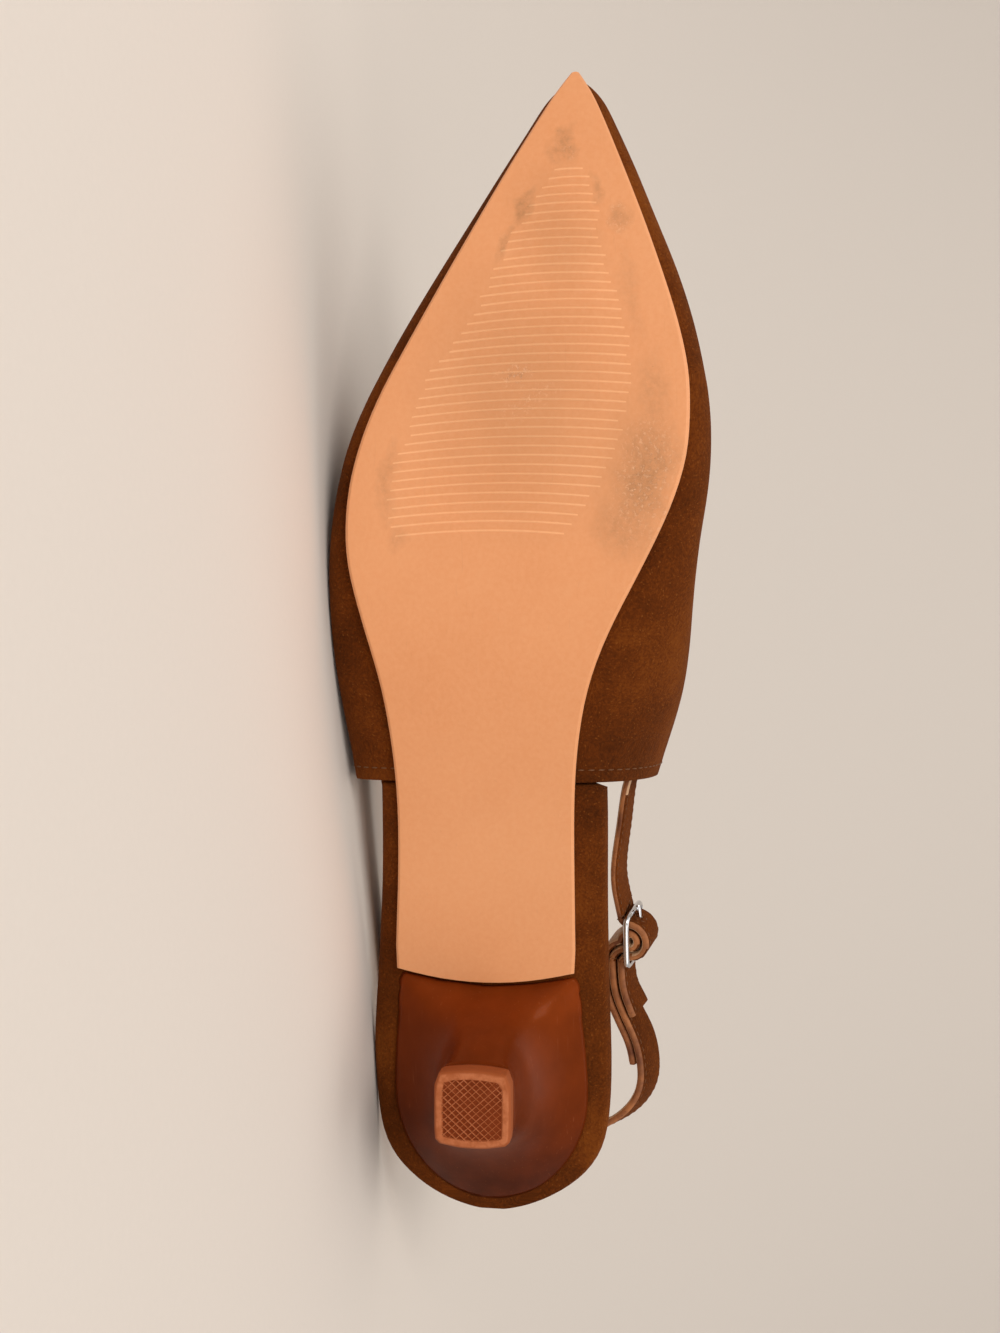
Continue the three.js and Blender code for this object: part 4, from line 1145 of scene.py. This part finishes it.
@dataclass
class Heel(PieceGroup):
    """The moulded heel, and its tip with a raised lattice in a shallow pocket."""

    soft_heights: tuple[float, float] = (8 * MM, 29 * MM)
    soft_rounds: int = 5
    soft_share: float = 0.5
    border: float = 1.25 * MM
    pocket_depth: float = 0.3 * MM
    pocket_slope: float = 0.12 * MM
    lattice_pitch: float = 1.25 * MM
    lattice_turn: float = 48
    lattice_reach: int = 12
    ground_lean: float = 0.98
    ground_reach: float = 0.1 * MM
    bar_width: float = 0.2 * MM
    bar_steps: int = 20

    # Section of a bar: places across it as shares of half its width, and heights as shares of the pocket
    bar_section: tuple = ((1.7, 1.15), (0.6, 0), (0, -0.1), (-0.6, 0), (-1.7, 1.15))

    def build(self) -> None:
        """Builds the heel, the tip and the lattice."""
        mesh = self.maker.copy_mesh("heel")
        self.maker.hold_edges(mesh, angle=40, crease=0.85)
        self.soften(mesh)
        self.maker.finish("heel_block", mesh, Slot.HEEL, [self.finishes.heel], levels=2, replaces=("heel",))
        mesh = self.maker.copy_mesh("heel_tip")
        outline = self.sink_pocket(mesh)
        self.maker.hold_edges(mesh, angle=18, crease=0.92)
        # The pocket's floor takes the darker rubber, which is painted shade in the recess.
        materials = [self.finishes.tip, self.finishes.pocket]
        self.maker.finish("tip_block", mesh, Slot.TIP, materials, levels=2, replaces=("heel_tip",))
        self.build_lattice(outline)

    def soften(self, mesh: bmesh.types.BMesh) -> None:
        """Melts the ridges between the heel's breast and its sides, between the seat and the tip."""
        shoe = self.maker.shoe
        crease = mesh.edges.layers.float["crease_edge"]
        low, high = self.soft_heights
        soft = [vert for vert in mesh.verts if low < shoe.shoe_place(vert.co).z < high]
        for edge in mesh.edges:
            if any(vert in soft for vert in edge.verts):
                edge[crease] = 0.0
        for _ in range(self.soft_rounds):
            bmesh.ops.smooth_vert(
                mesh, verts=soft, factor=self.soft_share,
                use_axis_x=True, use_axis_y=True, use_axis_z=True,
            )

    def sink_pocket(self, mesh: bmesh.types.BMesh) -> list[Vector]:
        """Sinks the middle of the tip's ground face, inside a plain border.

        Args:
            mesh: the tip's mesh.

        Returns:
            Corners of the pocket in the shoe's frame.
        """
        shoe = self.maker.shoe
        down = shoe.direction(0, 0, -1)
        mesh.normal_update()
        ground = [face for face in mesh.faces if face.normal.dot(down) > self.ground_lean
                  and abs(shoe.shoe_place(face.calc_center_median()).z) < self.ground_reach]
        bmesh.ops.inset_region(mesh, faces=ground, thickness=self.border, use_boundary=True)
        rim = {vert for face in ground for edge in face.edges for vert in edge.verts
               if any(other not in ground for other in edge.link_faces)}
        bmesh.ops.inset_region(mesh, faces=ground, thickness=self.pocket_slope, depth=-self.pocket_depth,
                               use_boundary=True)
        # The pocket's floor gets the darker finish: painted shade in the recess.
        for face in ground:
            face.material_index = 1
        return [shoe.shoe_place(vert.co) for vert in rim]

    def build_lattice(self, outline: list[Vector]) -> None:
        """Lays two families of thin bars across the pocket.

        Args:
            outline: corners of the pocket in the shoe's frame.
        """
        mesh = bmesh.new()
        middle = sum(outline, Vector()) / len(outline)
        around = sorted(outline, key=lambda spot: math.atan2(spot.y - middle.y, spot.x - middle.x))
        for turn in (self.lattice_turn, -self.lattice_turn):
            ahead = Vector((math.cos(math.radians(turn)), math.sin(math.radians(turn)), 0))
            side = Vector((-ahead.y, ahead.x, 0))
            for step in range(-self.lattice_reach, self.lattice_reach + 1):
                ends = self.crossings(around, middle + side * (step * self.lattice_pitch), ahead)
                if len(ends) == 2 and (ends[1] - ends[0]).length > self.lattice_pitch:
                    self.add_bar(mesh, ends[0], ends[1], side)
        self.maker.finish("tip_lattice", mesh, Slot.TIP, [self.finishes.tip])

    @staticmethod
    def crossings(around: list[Vector], start: Vector, ahead: Vector) -> list[Vector]:
        """Places where a line crosses an outline.

        Args:
            around: the outline's corners in order.
            start: a place on the line.
            ahead: direction of the line.

        Returns:
            The places, in order along the line.
        """
        found = []
        for a, b in zip(around, around[1:] + around[:1]):
            span = b - a
            turned = ahead.x * span.y - ahead.y * span.x
            if abs(turned) < PARALLEL:
                continue
            share = (ahead.y * (a.x - start.x) - ahead.x * (a.y - start.y)) / turned
            if 0 <= share < 1:
                found.append(a + span * share)
        return sorted(found, key=lambda spot: (spot - start).dot(ahead))

    def add_bar(self, mesh: bmesh.types.BMesh, start: Vector, end: Vector, side: Vector) -> None:
        """Draws one bar with a low pointed section that stands in the pocket and reaches its rim.

        Args:
            mesh: the lattice's mesh.
            start: its first end.
            end: its last end.
            side: direction across it.
        """
        shoe = self.maker.shoe
        wide = side * (self.bar_width / 2)
        deep = Vector((0, 0, self.pocket_depth))
        section = [wide * across + deep * height for across, height in self.bar_section]
        places = []
        for step in range(self.bar_steps + 1):
            spot = start.lerp(end, step / self.bar_steps)
            places.append([shoe.place(*(spot + corner)) for corner in section])
        draw_profile(mesh, places)


@dataclass
class Straps(PieceGroup):
    """The sling strap and the buckle strap: suede outside, lining inside and brown cut edges."""

    edge_lean: float = 0.8
    middle: tuple[float, float] = (62 * MM, 4 * MM)

    def build(self) -> None:
        """Builds both straps."""
        for node, name in (("sling_strap", "sling_band"), ("buckle_strap", "buckle_band")):
            mesh = self.maker.copy_mesh(node)
            self.maker.hold_edges(mesh, angle=32, crease=0.5)
            self.mark_faces(mesh)
            materials = [self.finishes.suede, self.finishes.edge, self.finishes.lining]
            piece = self.maker.finish(name, mesh, Slot.STRAP, materials, levels=1, replaces=(node,))
            seam = Seam(self.maker, self.finishes, inset=1.1 * MM, pitch=2.2 * MM, length=1.6 * MM,
                        width=0.3 * MM, rise=-0.04 * MM)
            runs = seam.beside_border(piece, sewn=0, least_height=0.0)
            seam.sew(f"{name}_stitches", Slot.STRAP, runs)

    def mark_faces(self, mesh: bmesh.types.BMesh) -> None:
        """Gives the cut edges and the inside of a strap their finishes."""
        shoe = self.maker.shoe
        mesh.normal_update()
        for face in mesh.faces:
            out = shoe.to_row.inverted().to_3x3() @ face.normal
            place = shoe.shoe_place(face.calc_center_median())
            inward = Vector((self.middle[0] - place.x, self.middle[1] - place.y, 0)).normalized()
            if abs(out.z) > self.edge_lean:
                face.material_index = 1
            else:
                face.material_index = 2 if out.dot(inward) > 0 else 0


@dataclass
class Buckle(PieceGroup):
    """The buckle's frame and prong."""

    def build(self) -> None:
        """Builds the frame and the prong."""
        for node, name in (("buckle_frame", "buckle_rim"), ("buckle_prong", "buckle_pin")):
            mesh = self.maker.copy_mesh(node)
            self.maker.hold_edges(mesh, angle=75, crease=0.4)
            self.maker.finish(name, mesh, Slot.METAL, [self.finishes.metal], levels=2, replaces=(node,))


@dataclass
class Studio:
    """Floor, backdrop, light and camera."""

    shoe: ShoeFrame
    finishes: Finishes
    picture_camera: tuple[float, float, float] = (0.1377, 0.052, -0.3)
    aim: tuple[float, float, float] = (0.1385, 0.0075, 0.0)
    lens: float = 36.0
    sensor: float = 36.0
    paper_half_width: float = 3.5
    paper_front: float = -3.0
    paper_top: float = 3.0
    sweep_start: float = 0.12
    sweep_radius: float = 1.1
    sweep_steps: int = 24
    sky: float = 0.55
    sky_colour: Colour = (1.0, 0.98, 0.955)
    lamp_colour: Colour = (1.0, 0.975, 0.95)
    panels: tuple = (
        ("toe_panel", (-0.45, -0.95, 0.85), 0.6, 8.5),
        ("fill_panel", (0.9, -1.0, 0.7), 1.0, 4.5),
        ("top_panel", (0.0, 0.2, 1.4), 1.3, 5.0),
    )

    def build(self) -> None:
        """Builds the studio."""
        self.build_paper()
        self.build_lights()
        self.build_camera()

    def build_paper(self) -> None:
        """A floor that curves up into a backdrop far behind the shoe, in one sheet."""
        mesh = bmesh.new()
        sides = (-self.paper_half_width, self.paper_half_width)
        draw_profile(mesh, [[Vector((side, *spot)) for side in sides] for spot in self.sweep()])
        bmesh.ops.recalc_face_normals(mesh, faces=mesh.faces)
        if sum(face.normal.z for face in mesh.faces) < 0:
            bmesh.ops.reverse_faces(mesh, faces=mesh.faces)
        smooth_faces(mesh)
        data = bpy.data.meshes.new("paper_sweep")
        mesh.to_mesh(data)
        mesh.free()
        data.materials.append(self.finishes.paper)
        paper = bpy.data.objects.new("paper_sweep", data)
        bpy.context.scene.collection.objects.link(paper)

    def sweep(self) -> list[tuple[float, float]]:
        """Depth and height of the paper: a flat floor, a wide curve and a wall."""
        turns = [math.radians(90) * step / self.sweep_steps for step in range(self.sweep_steps + 1)]
        curve = [(self.sweep_start + self.sweep_radius * math.sin(turn),
                  self.sweep_radius * (1 - math.cos(turn))) for turn in turns]
        return [(self.paper_front, 0.0), *curve, (curve[-1][0], self.paper_top)]

    def build_lights(self) -> None:
        """Soft panels and an even sky."""
        world = bpy.data.worlds.new("studio")
        bpy.context.scene.world = world
        world.use_nodes = True
        background = world.node_tree.nodes["Background"]
        background.inputs["Color"].default_value = (*self.sky_colour, 1)
        background.inputs["Strength"].default_value = self.sky
        for name, place, size, power in self.panels:
            light = bpy.data.lights.new(name, "AREA")
            light.size = size
            light.energy = power
            light.color = self.lamp_colour
            lamp = bpy.data.objects.new(name, light)
            lamp.location = place
            lamp.rotation_euler = (-Vector(place)).to_track_quat("-Z", "Y").to_euler()
            bpy.context.scene.collection.objects.link(lamp)

    def build_camera(self) -> None:
        """A camera at the photo's place, turned to the one shoe and rolled so that the toe is up."""
        data = bpy.data.cameras.new("camera")
        data.sensor_fit = "VERTICAL"
        data.sensor_height = self.sensor
        data.lens = self.lens
        data.clip_start = 0.01
        camera = bpy.data.objects.new("camera", data)
        place = self.shoe.place(*self.picture_camera)
        look = (self.shoe.place(*self.aim) - place).normalized()
        toe = self.shoe.direction(1, 0, 0)
        right = look.cross(toe).normalized()
        top = right.cross(look)
        turn = Matrix((right, top, -look)).transposed().to_4x4()
        camera.matrix_world = Matrix.Translation(place) @ turn
        bpy.context.scene.collection.objects.link(camera)
        bpy.context.scene.camera = camera
        bpy.context.scene.view_settings.view_transform = "Standard"


def main() -> None:
    """Loads the frame and dresses it, class by class."""
    logging.basicConfig(level=logging.INFO)
    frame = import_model()
    shoe = ShoeFrame.from_record(frame["record"])
    maker = PieceMaker(shoe, frame["nodes"])
    finishes = Finishes()
    for group in (Sole, Vamp, Footbed, Heel, Straps, Buckle):
        group(maker, finishes).build()
    Studio(shoe, finishes).build()


if __name__ == "__main__":
    main()
